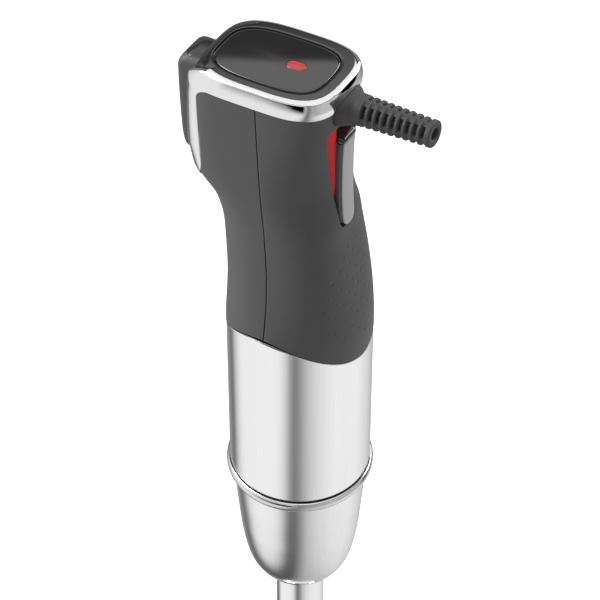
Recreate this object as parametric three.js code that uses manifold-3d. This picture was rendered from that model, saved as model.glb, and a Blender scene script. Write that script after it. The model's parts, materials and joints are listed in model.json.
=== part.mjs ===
// Hand blender: a motor unit with a leaning grip, squeeze trigger and thumb button, standing on a
// detachable steel blending leg. Millimetres, +Z up. The drive axis is vertical, the trigger and the
// cord outlet are at the back (+X), the thumb button is at the front (-X), and the outside is mirror
// symmetric about Y = 0. The origin is the middle of the footprint, on the surface it stands on.
import * as THREE from "three";
import { mergeVertices } from "three/addons/utils/BufferGeometryUtils.js";
import Module from "manifold-3d";

const wasm = await Module();
wasm.setup();

// ---------------------------------------------------------------- driving dimensions
// Shared fits and finish
const fitGap = 0.3; // between pieces that seat on or in each other
const slideGap = 0.4; // between a moving piece and its opening
const shellSegments = 28; // facets of a turned shell
const roundSegments = 20; // facets of a turned piece
const smallSegments = 12; // facets of a small turned piece

// Blending leg, measured up from the surface it stands on
const legLength = 215; // surface to the joint with the motor unit
const bellRadius = 34;
const bellWall = 1.2;
const bellHeight = 38; // rim to the top of the dome
const bellCollarHeight = 9; // straight collar above the dome, around the tube
const windowCount = 4; // flow windows around the bell
const windowWidth = 15;
const windowSill = 7;
const windowHeight = 13;
const tubeRadius = 10.4;
const tubeWall = 0.9;
const neckRadius = 28.2; // at the top, under the bead
const neckWall = 1;
const neckLength = 72; // bead to the tube
const beadRadius = 31.1;
const beadHeight = 5.2;
const collarRadius = 24.2; // plastic collar that plugs into the motor unit
const collarWall = 2.2;
const collarRise = 16; // above the joint
const collarFloor = 4;
const driveShaftRadius = 3;
const hexRadius = 5; // drive hexagon, over its corners
const hexLength = 9.5;
const bladeSpan = 48;
const bladeThickness = 1.2;
const bladeLift = 12; // rim to the blade
const bladeSweep = 15; // degrees that the wings are bent up and down
const nutHeight = 3.6;
const nutRadius = 4.6;
const hubHeight = 7;
const hubRadius = 5.2;
const sealHeight = 3.6;
const lowerBushLength = 12;
const upperBushLength = 6;

// Motor unit, measured up from the joint
const sleeveRadius = 30;
const sleeveWall = 0.8;
const jointGap = 0.8; // shadow gap between the sleeve and the bead
const waveHeight = 83.2; // mean height of the wavy edge between sleeve and grip
const waveSwing = 7.8; // the edge rises at the sides and falls at front and back
const shellWall = 2.2;
const headTilt = 3; // degrees that the head rises toward the back
const headTop = 210.5; // top of the panel over the drive axis
const tiltStart = 150; // the sections begin to lean with the head here
const tiltFull = 200;
const bandHeight = 8.3; // chrome band around the head
const trimWall = 1.6;
const trimProud = 0.4; // trim surface outside the grip's
const trimLegReach = -33.2; // back edge of the chrome legs, on the sides of the head
const trimLegTip = 152; // lower tip of the chrome legs
const trimLegInset = 13.5; // half of the free width between the two legs
const panelThickness = 2.8;
const panelInset = 0.6; // panel edge inside the grip's outline
const frontRim = 2.1; // width of the black rim in front of the window
const sideRim = 4.1;
const backRim = 5.1;
const grooveWidth = 0.6;
const windowThickness = 1.3;
const windowSink = 0.1; // window and lens lie this far under the rim
const lipHeight = 203.9; // lower edge of the panel's front lip
const lensLength = 8;
const lensWidth = 4.8;
const lensReach = -1.5; // centre of the indicator lens, back from the drive axis

// Grip sections: height, reach to the front and back, half width, squareness of the front and back
// halves (2 is an ellipse), and where the widest point and the seam between the two shells lie.
const gripSections = [
  { height: 60, front: 30.1, back: 30.1, half: 30.1, frontSquare: 2, backSquare: 2, seam: 0 },
  { height: 84, front: 30.1, back: 30.1, half: 30.1, frontSquare: 2, backSquare: 2, seam: 0 },
  { height: 96, front: 29.5, back: 29.2, half: 27.8, frontSquare: 2.1, backSquare: 2.2, seam: 0 },
  { height: 108, front: 29.1, back: 27.3, half: 25.7, frontSquare: 2.2, backSquare: 2.55, seam: -0.3 },
  { height: 122, front: 29.7, back: 25, half: 24, frontSquare: 2.3, backSquare: 2.8, seam: -1 },
  { height: 136, front: 30.6, back: 22.7, half: 23, frontSquare: 2.4, backSquare: 2.8, seam: -2.2 },
  { height: 144, front: 31.8, back: 22, half: 22.6, frontSquare: 2.7, backSquare: 2.6, seam: -2.9 },
  { height: 150, front: 34, back: 21.5, half: 22.5, frontSquare: 3, backSquare: 2.2, seam: -3.5 },
  { height: 158, front: 40.7, back: 21.1, half: 22.5, frontSquare: 3.5, backSquare: 1.9, seam: -4.1 },
  { height: 164, front: 41.2, back: 20.9, half: 22.4, frontSquare: 3.9, backSquare: 1.9, seam: -4.6 },
  { height: 178, front: 40.8, back: 20.5, half: 21.9, frontSquare: 4.6, backSquare: 2.25, seam: -5.6 },
  { height: 192, front: 40.3, back: 20.4, half: 21.4, frontSquare: 5, backSquare: 2.9, seam: -6.5 },
  { height: 200, front: 40.1, back: 20.6, half: 21.2, frontSquare: 4.9, backSquare: 3.2, seam: -6.9 },
  { height: 205, front: 39.7, back: 20.8, half: 21.1, frontSquare: 4.5, backSquare: 3.4, seam: -7.2 },
  { height: 208, front: 38.4, back: 20.5, half: 20.8, frontSquare: 3.9, backSquare: 3.4, seam: -7.5 },
  { height: 210.5, front: 37, back: 19.4, half: 20.1, frontSquare: 3.3, backSquare: 3.4, seam: -7.7 },
  { height: 214, front: 33.5, back: 17, half: 17.8, frontSquare: 2.9, backSquare: 3.4, seam: -7.9 },
];

// Thumb button on the front of the head
const buttonReach = 49.9; // front of the drive axis
const buttonHalf = 9.1;
const buttonTop = 203.3;
const buttonBottom = 158.6;
const buttonCorner = 3;
const buttonFlange = 2; // how far its inner flange reaches past the opening
const buttonCapThickness = 1.8;

// Squeeze trigger on the back of the grip
const triggerTop = 187.6;
const triggerBottom = 141.6;
const triggerReach = 21.6; // outer face, behind the drive axis
const triggerHalf = 5.2;
const triggerDepth = 9.4;
const triggerFaceThickness = 1.8;
const triggerFaceHalf = 4.2;
const triggerCapThickness = 1.4;
const skirtTopHalf = 10.6;
const skirtBottomHalf = 5.9;
const skirtDepth = 8;
const skirtRise = 1.6; // above the trigger's cap
const skirtSink = 1; // below the grip's surface
const pivotReach = 14;
const pivotRise = 5.4; // above the lower end of the trigger
const pivotRadius = 1.5;
const pinOverhang = 5.4; // of the pin on each side of the lever

// Cord outlet
const outletDrop = 10.5; // its axis below the top of the panel
const outletRootHalf = 8.4;
const outletRootHeight = 10.4;
const outletRootEnd = 26.5; // root block ends, behind the drive axis
const outletEnd = 57.7;
const outletRootRadius = 6.2;
const outletEndRadius = 5.3;
const outletBore = 3.6;
const ribCount = 10;
const ribDepth = 1.1;

// Motor, measured up from the joint
const socketWeb = 3;
const lowerBracketThickness = 3;
const bearingRadius = 7.8;
const bearingWidth = 5;
const motorShaftRadius = 3;
const couplingRadius = 7.4;
const couplingBottom = 4;
const fanBottom = 32;
const fanHeight = 7.6;
const fanRadius = 20;
const fanBlades = 9;
const statorBottom = 48;
const statorHeight = 30;
const statorRadius = 27;
const coilOverhang = 6.2;
const coilDepth = 5.2;
const armatureRadius = 12.8;
const airGap = 0.6;
const commutatorRadius = 9;
const commutatorHeight = 9;
const upperBracketBottom = 94.2;
const upperBracketThickness = 3.3;
const upperBracketRadius = 25.4;
const upperBracketFlat = 18;
const tieScrewReach = 22.7; // tie screws from the drive axis
const tieScrewRadius = 1.9;
const screwHeadRadius = 3.2;
const screwHeadHeight = 2.2;
const brushWidth = 5;
const brushHeight = 5.4;
const brushHolderWall = 0.9;

// Frame, board and switch inside the grip
const frameFront = -14;
const frameThickness = 2.6;
const frameHalf = 15;
const boardThickness = 1.6;
const boardHalf = 13;
const boardBottom = 108;
const boardTop = 170;
const capacitorRadius = 6;
const capacitorLength = 8.5;
const capacitorHeight = 128;
const sinkHeight = 22;
const sinkBase = 150;
const springRadius = 3;
const springWire = 0.55;
const springTurns = 4;
const switchHeight = 10;
const switchLength = 16;
const switchHalf = 3.2;
const switchClear = 4.4; // from the trigger's inner wall, so that the trigger can swing
const switchNub = 1.2;
const guideRadius = 2.1;

// ---------------------------------------------------------------- finishes
const finishes = {
  softTouch: { color: 0x4a4a4b, roughness: 0.75, metalness: 0 },
  glossBlack: { color: 0x101011, roughness: 0.08, metalness: 0 },
  chrome: { color: 0xdfe1e3, roughness: 0.06, metalness: 1 },
  brushedSteel: { color: 0xc9cbcc, roughness: 0.28, metalness: 1 },
  polishedSteel: { color: 0xd6d8d9, roughness: 0.12, metalness: 1 },
  greyPlastic: { color: 0x8f9192, roughness: 0.4, metalness: 0 },
  darkPlastic: { color: 0x2b2b2d, roughness: 0.5, metalness: 0 },
  redPlastic: { color: 0xa5191e, roughness: 0.4, metalness: 0 },
  lensRed: { color: 0xc8575c, roughness: 0.2, metalness: 0 },
  naturalPlastic: { color: 0xd9d6cc, roughness: 0.5, metalness: 0 },
  lamination: { color: 0x6d7075, roughness: 0.5, metalness: 0.8 },
  copper: { color: 0xb5652f, roughness: 0.4, metalness: 0.9 },
  brass: { color: 0xbd9a4e, roughness: 0.35, metalness: 1 },
  carbon: { color: 0x2a2a2a, roughness: 0.8, metalness: 0 },
  board: { color: 0x2f6b3c, roughness: 0.6, metalness: 0 },
  seal: { color: 0x1b1b1b, roughness: 0.7, metalness: 0 },
};

// ---------------------------------------------------------------- shape helpers
const degrees = Math.PI / 180;
const far = 120; // half size of a cutting block, beyond any part of the blender
const tiltSlope = Math.tan(headTilt * degrees);

function solidFrom(geometry) {
  const bare = geometry.index ? geometry.toNonIndexed() : geometry.clone();
  for (const name of Object.keys(bare.attributes)) {
    if (name !== "position") bare.deleteAttribute(name);
  }
  const merged = mergeVertices(bare, 1e-4);
  const corners = merged.getAttribute("position").array;
  const index = merged.index.array;
  const triangles = [];
  let volume = 0;
  const [a, b, c] = [new THREE.Vector3(), new THREE.Vector3(), new THREE.Vector3()];
  for (let i = 0; i < index.length; i += 3) {
    const [p, q, r] = [index[i], index[i + 1], index[i + 2]];
    if (p === q || q === r || r === p) continue;
    triangles.push([p, q, r]);
    a.fromArray(corners, 3 * p);
    b.fromArray(corners, 3 * q);
    c.fromArray(corners, 3 * r);
    volume += a.dot(b.cross(c));
  }
  const outward = volume > 0 ? triangles : triangles.map(([p, q, r]) => [p, r, q]);
  return new wasm.Manifold(
    new wasm.Mesh({
      numProp: 3,
      vertProperties: Float32Array.from(corners),
      triVerts: Uint32Array.from(outward.flat()),
    }),
  );
}

function geometryFrom(solid) {
  const mesh = solid.getMesh();
  const geometry = new THREE.BufferGeometry();
  const position = new Float32Array(mesh.numVert * 3);
  for (let i = 0; i < mesh.numVert; i += 1) {
    for (let k = 0; k < 3; k += 1) position[3 * i + k] = mesh.vertProperties[mesh.numProp * i + k];
  }
  geometry.setAttribute("position", new THREE.BufferAttribute(position, 3));
  geometry.setIndex([...mesh.triVerts]);
  geometry.computeVertexNormals();
  return geometry;
}

const joined = (...solids) => solids.reduce((sum, next) => sum.add(next));

function block(x0, x1, y0, y1, z0, z1) {
  const geometry = new THREE.BoxGeometry(x1 - x0, y1 - y0, z1 - z0);
  geometry.translate((x0 + x1) / 2, (y0 + y1) / 2, (z0 + z1) / 2);
  return solidFrom(geometry);
}

// A turned piece about Z. The profile is a closed loop of [radius, height].
function turned(profile, segments = roundSegments) {
  const points = profile.map(([radius, height]) => new THREE.Vector2(radius, height));
  points.push(points[0].clone());
  const geometry = new THREE.LatheGeometry(points, segments);
  geometry.rotateX(Math.PI / 2);
  return solidFrom(geometry);
}

const ring = (inner, outer, z0, z1, segments = roundSegments) =>
  turned([[inner, z0], [outer, z0], [outer, z1], [inner, z1]], segments);

const rod = (radius, z0, z1, segments = smallSegments) =>
  turned([[0, z0], [radius, z0], [radius, z1], [0, z1]], segments);

function polygon(corners) {
  return new THREE.Shape(corners.map(([x, y]) => new THREE.Vector2(x, y)));
}

// Prisms of a drawn outline: along Z between two heights, along Y across the blender (drawn in X, Z),
// and along X between two reaches (drawn in Y, Z).
const extruded = (shape, depth, curveSegments = 4) =>
  new THREE.ExtrudeGeometry(shape, { depth, curveSegments, bevelEnabled: false });

function prismZ(shape, z0, z1) {
  const geometry = extruded(shape, z1 - z0, 5);
  geometry.translate(0, 0, z0);
  return solidFrom(geometry);
}

function prismY(shape, y0 = -far, y1 = far) {
  const geometry = extruded(shape, y1 - y0);
  geometry.rotateX(Math.PI / 2);
  geometry.translate(0, y1, 0);
  return solidFrom(geometry);
}

function prismX(shape, x0, x1) {
  const geometry = extruded(shape, x1 - x0);
  const turn = new THREE.Matrix4().makeBasis(
    new THREE.Vector3(0, 1, 0),
    new THREE.Vector3(0, 0, 1),
    new THREE.Vector3(1, 0, 0),
  );
  geometry.applyMatrix4(turn);
  geometry.translate(x0, 0, 0);
  return solidFrom(geometry);
}

function rectangle(x0, x1, y0, y1, radius = 0) {
  const shape = new THREE.Shape();
  if (radius === 0) return polygon([[x0, y0], [x1, y0], [x1, y1], [x0, y1]]);
  shape.absarc(x1 - radius, y0 + radius, radius, -Math.PI / 2, 0);
  shape.absarc(x1 - radius, y1 - radius, radius, 0, Math.PI / 2);
  shape.absarc(x0 + radius, y1 - radius, radius, Math.PI / 2, Math.PI);
  shape.absarc(x0 + radius, y0 + radius, radius, Math.PI, 1.5 * Math.PI);
  return shape;
}

// A closed body through a stack of loops with equal point counts.
function loft(loops) {
  const count = loops[0].length;
  const positions = loops.flat().flatMap((point) => [point.x, point.y, point.z]);
  const index = [];
  for (let level = 0; level + 1 < loops.length; level += 1) {
    for (let i = 0; i < count; i += 1) {
      const here = level * count + i;
      const next = level * count + ((i + 1) % count);
      index.push(here, next, next + count, here, next + count, here + count);
    }
  }
  for (const level of [0, loops.length - 1]) {
    const sum = loops[level].reduce((total, point) => total.add(point), new THREE.Vector3());
    const centre = sum.divideScalar(count);
    const hub = positions.length / 3;
    positions.push(centre.x, centre.y, centre.z);
    for (let i = 0; i < count; i += 1) {
      const here = level * count + i;
      const next = level * count + ((i + 1) % count);
      index.push(...(level === 0 ? [hub, next, here] : [hub, here, next]));
    }
  }
  const geometry = new THREE.BufferGeometry();
  geometry.setAttribute("position", new THREE.Float32BufferAttribute(positions, 3));
  geometry.setIndex(index);
  return solidFrom(geometry);
}

// A helical compression spring along +Z from z0 to z1.
function coilSpring(radius, wire, turns, z0, z1) {
  class Helix extends THREE.Curve {
    getPoint(t, target = new THREE.Vector3()) {
      const angle = 2 * Math.PI * turns * t;
      const height = z0 + wire + (z1 - z0 - 2 * wire) * t;
      return target.set(radius * Math.cos(angle), radius * Math.sin(angle), height);
    }
  }
  const section = new THREE.Shape();
  section.absarc(0, 0, wire, 0, 2 * Math.PI);
  return solidFrom(
    new THREE.ExtrudeGeometry(section, { steps: 9 * turns, curveSegments: 2, extrudePath: new Helix() }),
  );
}

function hexagon(radius) {
  const corner = (angle) => [radius * Math.cos(angle * degrees), radius * Math.sin(angle * degrees)];
  return polygon([0, 60, 120, 180, 240, 300].map(corner));
}

function annularSector(inner, outer, middleDegrees, halfDegrees, z0, z1) {
  const [from, to] = [(middleDegrees - halfDegrees) * degrees, (middleDegrees + halfDegrees) * degrees];
  const shape = new THREE.Shape();
  shape.absarc(0, 0, outer, from, to);
  shape.absarc(0, 0, inner, to, from, true);
  return prismZ(shape, z0, z1);
}

const blender = new THREE.Group();
const blendingLeg = new THREE.Group();
const motorUnit = new THREE.Group();
motorUnit.position.z = legLength;
blender.add(blendingLeg, motorUnit);
// The footprint runs from the thumb button to the end of the cord outlet.
blender.position.x = (buttonReach - outletEnd) / 2;

function place(group, name, solid, finish) {
  const mesh = new THREE.Mesh(geometryFrom(solid), new THREE.MeshStandardMaterial(finishes[finish]));
  mesh.name = name;
  group.add(mesh);
}

// ---------------------------------------------------------------- the head and grip's outer form
function gripAt(height) {
  const last = gripSections.length - 2;
  const found = gripSections.findIndex((section) => section.height > height) - 1;
  const i = found < 0 ? (height < gripSections[0].height ? 0 : last) : found;
  const before = gripSections[Math.max(i - 1, 0)];
  const [low, high] = [gripSections[i], gripSections[i + 1]];
  const after = gripSections[Math.min(i + 2, last + 1)];
  const span = high.height - low.height;
  const t = THREE.MathUtils.clamp((height - low.height) / span, 0, 1);
  const blend = (key) => {
    const slopeLow = ((high[key] - before[key]) / (high.height - before.height)) * span;
    const slopeHigh = ((after[key] - low[key]) / (after.height - low.height)) * span;
    const [t2, t3] = [t * t, t * t * t];
    const ends = (2 * t3 - 3 * t2 + 1) * low[key] + (3 * t2 - 2 * t3) * high[key];
    return ends + (t3 - 2 * t2 + t) * slopeLow + (t3 - t2) * slopeHigh;
  };
  const keys = ["front", "back", "half", "frontSquare", "backSquare", "seam"];
  return Object.fromEntries(keys.map((key) => [key, blend(key)]));
}

// A loop around the form. The loops lean more and more until they lie parallel to the head's top.
const loopPoints = 28;
function gripLoop(height, inset, sideInset = inset, backInset = inset) {
  const section = gripAt(height);
  const lean = tiltSlope * THREE.MathUtils.smoothstep(height, tiltStart, tiltFull);
  return [...Array(loopPoints).keys()].map((i) => {
    const angle = (2 * Math.PI * i) / loopPoints;
    const [c, s] = [Math.cos(angle), Math.sin(angle)];
    const square = c < 0 ? section.frontSquare : section.backSquare;
    const reach = c < 0 ? section.front + section.seam - inset : section.back - section.seam - backInset;
    const along = Math.sign(c) * Math.abs(c) ** (2 / square);
    const across = Math.sign(s) * Math.abs(s) ** (2 / square);
    const x = section.seam + reach * along;
    return new THREE.Vector3(x, (section.half - sideInset) * across, height + lean * x);
  });
}

// The form, drawn in by an inset.
const formBottom = gripSections[0].height;
const formTop = gripSections.at(-1).height;
const form = (inset) => loft(gripSections.map(({ height }) => gripLoop(height, inset)));

// Everything above a plane parallel to the tilted head, at a depth under the panel's top.
function aboveHeadPlane(depth) {
  const [level, rise] = [headTop - depth, far * tiltSlope];
  return prismY(polygon([[-far, level - rise], [far, level + rise], [far, 3 * far], [-far, 3 * far]]));
}

const sleeveEdge = (angle) => waveHeight - waveSwing * Math.cos(2 * angle);
function belowSleeveEdge(offset) {
  const loop = (radius, height) =>
    [...Array(2 * loopPoints).keys()].map((i) => {
      const angle = (Math.PI * i) / loopPoints;
      return new THREE.Vector3(radius * Math.cos(angle), radius * Math.sin(angle), height(angle));
    });
  const edge = (angle) => sleeveEdge(angle) + offset;
  return loft([loop(far, () => -far), loop(far, edge), loop(sleeveRadius / 3, edge)]);
}

// Front side of the seam between the two shells, with the seam drawn back by a gap.
function frontOfSeam(gap) {
  const seamLine = gripSections.map(({ height, seam }) => [seam + gap, height]);
  return prismY(polygon([[-far, formBottom], ...seamLine, [-far, formTop]]));
}

// ---------------------------------------------------------------- chrome trim
// A band around the sides and back of the head, whose two legs run down the front edges to a point.
const bandLow = (x) => headTop - bandHeight + tiltSlope * x;
function trimCutter(gap) {
  const legBack = trimLegReach + gap;
  const legLow = trimLegTip - gap;
  const corner = 4; // inner corner between the band and a leg
  const outline = new THREE.Shape();
  outline.moveTo(far, bandLow(far) - gap);
  outline.lineTo(legBack + corner, bandLow(legBack + corner) - gap);
  outline.quadraticCurveTo(legBack, bandLow(legBack) - gap, legBack + 0.1, bandLow(legBack) - corner);
  outline.lineTo(legBack + 0.6, trimLegTip + 12);
  outline.quadraticCurveTo(legBack, trimLegTip + 4, legBack - 3, legLow);
  outline.lineTo(-far, legLow);
  outline.lineTo(-far, 2 * far);
  outline.lineTo(far, 2 * far);
  return prismY(outline);
}
const legDepth = 4; // how far back the cuts between the legs reach behind their back edges
const betweenLegs = (gap) =>
  block(-far, trimLegReach + legDepth, -trimLegInset - gap, trimLegInset + gap, 0, 2 * far);
const bandSlot = outletSlot(fitGap);
const panelSeat = form(panelInset - fitGap).intersect(aboveHeadPlane(panelThickness + fitGap));
const trimSolid = form(-trimProud)
  .subtract(form(trimWall - trimProud))
  .intersect(trimCutter(0))
  .subtract(aboveHeadPlane(0))
  .subtract(betweenLegs(0))
  .subtract(panelSeat)
  .subtract(bandSlot);
place(motorUnit, "chrome_trim", trimSolid, "chrome");
const trimRecess = form(-trimProud - fitGap)
  .subtract(form(trimWall - trimProud + fitGap))
  .intersect(trimCutter(fitGap))
  .subtract(betweenLegs(-fitGap));

// ---------------------------------------------------------------- top panel, window, indicator lens
// Outline of the window, drawn in from the panel's edge by the rim.
function windowOutline(gap) {
  const inset = panelInset + gap;
  const loop = gripLoop(headTop, inset + frontRim, inset + sideRim, inset + backRim);
  return prismZ(polygon(loop.map(({ x, y }) => [x, y])), headTop - far, headTop + far);
}
function lensShape(gap) {
  const half = lensWidth / 2 + gap;
  const straight = (lensLength - lensWidth) / 2;
  const shape = new THREE.Shape();
  shape.absarc(lensReach + straight, 0, half, -Math.PI / 2, Math.PI / 2);
  shape.absarc(lensReach - straight, 0, half, Math.PI / 2, 1.5 * Math.PI);
  return shape;
}
// The part of the panel that runs down between the trim's legs, as far back as a given reach.
function betweenTrim(back) {
  const half = trimLegInset - fitGap;
  return form(0)
    .subtract(aboveHeadPlane(0))
    .intersect(block(-far, back, -half, half, lipHeight, 2 * far));
}
const lipBack = trimLegReach + legDepth - 1;
const bridgeBack = lipBack + 5;
const panelFloor = aboveHeadPlane(panelThickness);
const panelPlate = form(panelInset).subtract(aboveHeadPlane(0)).intersect(panelFloor);
const frontLip = betweenTrim(lipBack).subtract(form(panelThickness));
const frontBridge = betweenTrim(bridgeBack).intersect(panelFloor);
const panelBody = joined(panelPlate, frontLip, frontBridge);
const windowPocket = windowOutline(0).intersect(aboveHeadPlane(windowThickness + fitGap));
const lensHole = prismZ(lensShape(fitGap), 0, 2 * far);
place(motorUnit, "top_panel", panelBody.subtract(windowPocket).subtract(lensHole), "glossBlack");
const windowSolid = windowOutline(grooveWidth)
  .subtract(aboveHeadPlane(windowSink))
  .intersect(aboveHeadPlane(windowThickness))
  .subtract(lensHole);
place(motorUnit, "panel_window", windowSolid, "glossBlack");
const lensSolid = prismZ(lensShape(0), 0, 2 * far)
  .subtract(aboveHeadPlane(windowSink))
  .intersect(panelFloor);
place(motorUnit, "indicator_lens", lensSolid, "lensRed");

// ---------------------------------------------------------------- cord outlet
// Drawn along +Z and then laid along the tilted head.
function alongOutlet(solid) {
  const turn = new THREE.Matrix4().makeRotationY((90 - headTilt) * degrees);
  const shift = new THREE.Matrix4().makeTranslation(0, 0, headTop - outletDrop);
  return solid.transform(shift.multiply(turn).elements);
}
// The root's section, drawn in the outlet's own X (down) and Y.
function outletRoot(gap, from, to) {
  const [half, tall] = [outletRootHalf + gap, outletRootHeight / 2 + gap];
  return prismZ(rectangle(-tall, tall, -half, half, 2), from, to);
}
function outletSlot(gap) {
  return alongOutlet(outletRoot(gap, 0.3 * outletRootEnd, outletRootEnd + 10));
}
function outletSleeve() {
  const pitch = (outletEnd - outletRootEnd) / ribCount;
  const [ribShare, endRound] = [0.62, 0.6]; // rib's share of a pitch, bevel of the free end
  const radiusAt = (s) =>
    THREE.MathUtils.mapLinear(s, outletRootEnd, outletEnd, outletRootRadius, outletEndRadius);
  const start = outletRootEnd - 1;
  const profile = [[outletBore, start], [radiusAt(start), start]];
  for (let i = 0; i < ribCount - 1; i += 1) {
    const rib = outletRootEnd + (i + ribShare) * pitch;
    const groove = outletRootEnd + (i + 1) * pitch;
    profile.push([radiusAt(rib), rib], [radiusAt(rib) - ribDepth, rib + 0.2]);
    profile.push([radiusAt(groove) - ribDepth, groove - 0.2], [radiusAt(groove), groove]);
  }
  profile.push([radiusAt(outletEnd), outletEnd - endRound], [radiusAt(outletEnd) - endRound, outletEnd]);
  profile.push([outletBore, outletEnd]);
  return turned(profile, smallSegments);
}
const outletInner = gripAt(headTop - outletDrop).back - shellWall - fitGap; // inside of the rear shell
const outletFoot = outletInner - 3.4;
const [flangeThickness, flangeEdge] = [1.8, 2];
const flangeTall = outletRootHeight / 2 + flangeEdge;
const flangeWide = outletRootHalf + flangeEdge;
const outletFlange = prismZ(
  rectangle(1 - flangeTall, flangeTall, -flangeWide, flangeWide, 2),
  outletFoot,
  outletFoot + flangeThickness,
);
// The root block runs into the round sleeve through a short taper.
const taperLength = 4.5;
function taperLoop(s, tall, half) {
  return [...Array(24).keys()].map((i) => {
    const [c, q] = [Math.cos(15 * i * degrees), Math.sin(15 * i * degrees)];
    const x = tall * Math.sign(c) * Math.abs(c) ** 0.7;
    return new THREE.Vector3(x, half * Math.sign(q) * Math.abs(q) ** 0.7, s);
  });
}
const outletTaper = loft([
  taperLoop(outletRootEnd - taperLength, outletRootHeight / 2, outletRootHalf),
  taperLoop(outletRootEnd, outletRootRadius, outletRootRadius),
]);
const outletRootBlock = outletRoot(0, outletFoot, outletRootEnd - taperLength + 0.1);
const outletSolid = joined(outletRootBlock, outletFlange, outletTaper, outletSleeve());
place(motorUnit, "strain_relief", alongOutlet(outletSolid.subtract(rod(outletBore, 0, far))), "softTouch");

// ---------------------------------------------------------------- grip shells
const gripSolid = form(0)
  .subtract(form(shellWall))
  .subtract(aboveHeadPlane(headTop - lipHeight + fitGap))
  .subtract(belowSleeveEdge(0))
  .subtract(trimRecess);
const openingHalf = buttonHalf + slideGap;
const buttonOpening = block(-far, -far / 6, -openingHalf, openingHalf, buttonBottom - slideGap, 2 * far);
place(
  motorUnit,
  "front_shell",
  gripSolid.intersect(frontOfSeam(-fitGap / 2)).subtract(buttonOpening).subtract(panelBody),
  "softTouch",
);

// Trigger opening: a tall slot, wide at the top and narrow at the lower end.
function skirtShape(gap) {
  const [low, high] = [triggerBottom - gap, triggerTop + skirtRise + gap];
  const [narrow, wide] = [skirtBottomHalf + gap, skirtTopHalf + gap];
  const shape = new THREE.Shape();
  shape.moveTo(-narrow, low + 4);
  shape.quadraticCurveTo(-narrow + 0.6, low, 0, low);
  shape.quadraticCurveTo(narrow - 0.6, low, narrow, low + 4);
  shape.lineTo(wide, high - 4);
  shape.quadraticCurveTo(wide, high, wide - 3, high);
  shape.lineTo(-wide + 3, high);
  shape.quadraticCurveTo(-wide, high, -wide, high - 4);
  return shape;
}
const triggerOpening = prismX(skirtShape(slideGap), 0, far);
place(
  motorUnit,
  "rear_grip",
  gripSolid.subtract(frontOfSeam(fitGap / 2)).subtract(triggerOpening).subtract(outletSlot(fitGap)),
  "softTouch",
);

// ---------------------------------------------------------------- trigger
const pivotHeight = triggerBottom + pivotRise;
const leverBack = triggerReach - triggerFaceThickness - fitGap;
const leverFront = leverBack - triggerDepth + triggerFaceThickness;
const leverTop = triggerTop - triggerCapThickness - fitGap;
function leverSide(x0, x1, top) {
  const shape = new THREE.Shape();
  shape.moveTo(x0, triggerBottom + 3);
  shape.quadraticCurveTo(x0, triggerBottom, x0 + 3, triggerBottom);
  shape.lineTo(x1 - 2.5, triggerBottom);
  shape.quadraticCurveTo(x1, triggerBottom, x1, triggerBottom + 2.5);
  shape.lineTo(x1, top);
  shape.lineTo(x0, top);
  return shape;
}
function pivotCylinder(radius) {
  const circle = new THREE.Shape();
  circle.absarc(pivotReach, pivotHeight, radius, 0, 2 * Math.PI);
  return prismY(circle);
}
const pivotHole = pivotCylinder(pivotRadius + fitGap);
function triggerFaceShape(half) {
  const shape = new THREE.Shape();
  shape.moveTo(half, triggerTop);
  shape.lineTo(-half, triggerTop);
  shape.lineTo(-half, triggerBottom + 6);
  shape.quadraticCurveTo(-half, triggerBottom, 0, triggerBottom);
  shape.quadraticCurveTo(half, triggerBottom, half, triggerBottom + 6);
  return shape;
}
const leverSolid = prismY(leverSide(leverFront, leverBack, leverTop), -triggerHalf, triggerHalf)
  .intersect(prismX(triggerFaceShape(triggerHalf), 0, far))
  .subtract(pivotHole);
place(motorUnit, "trigger_lever", leverSolid, "darkPlastic");
const faceSolid = prismX(triggerFaceShape(triggerFaceHalf), leverBack + fitGap, triggerReach);
place(motorUnit, "trigger_face", faceSolid, "greyPlastic");
place(
  motorUnit,
  "trigger_cap",
  block(leverFront + 2, leverBack, -triggerHalf, triggerHalf, leverTop + fitGap, triggerTop),
  "glossBlack",
);
const leverClear = block(leverFront - 1, far, -triggerHalf - fitGap, triggerHalf + fitGap, 0, 2 * far);
const skirtSolid = form(skirtSink)
  .subtract(form(skirtSink + skirtDepth))
  .intersect(prismX(skirtShape(0), 0, far));
const skirtBridge = prismX(skirtShape(-1), leverFront - 2, leverFront - fitGap);
const skirtWhole = joined(skirtSolid.subtract(leverClear), skirtBridge).intersect(form(skirtSink));
place(motorUnit, "trigger_skirt", skirtWhole.subtract(pivotHole), "redPlastic");
const pinHalf = triggerHalf + pinOverhang;
const pinSolid = rod(pivotRadius, -pinHalf, pinHalf).rotate([90, 0, 0]);
place(motorUnit, "trigger_pin", pinSolid.translate([pivotReach, 0, pivotHeight]), "polishedSteel");

// ---------------------------------------------------------------- thumb button
function buttonOutline() {
  const shape = new THREE.Shape();
  const [front, low, high] = [-buttonReach, buttonBottom, buttonTop];
  shape.moveTo(-30, low);
  shape.lineTo(front + 7, low);
  shape.quadraticCurveTo(front + 3.4, low, front + 3, low + 4);
  shape.quadraticCurveTo(front + 1.2, low + 14, front, low + 30);
  shape.lineTo(front, high - 3);
  shape.quadraticCurveTo(front + 0.2, high - 0.4, front + 3.4, high - 0.2);
  shape.lineTo(-30, high);
  return shape;
}
const flangeReach = -gripAt((buttonBottom + buttonTop) / 2).front + shellWall + 8 * fitGap;
const buttonPlan = prismZ(rectangle(-buttonReach, far, -buttonHalf, buttonHalf, buttonCorner), 0, 2 * far);
const buttonBlock = prismY(buttonOutline())
  .intersect(buttonPlan)
  .intersect(block(-far, flangeReach, -far, far, 0, 2 * far));
const flangeHalf = buttonHalf + buttonFlange;
const flangeBack = flangeReach + 1.6;
const flangeBottom = buttonBottom + 2;
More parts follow.
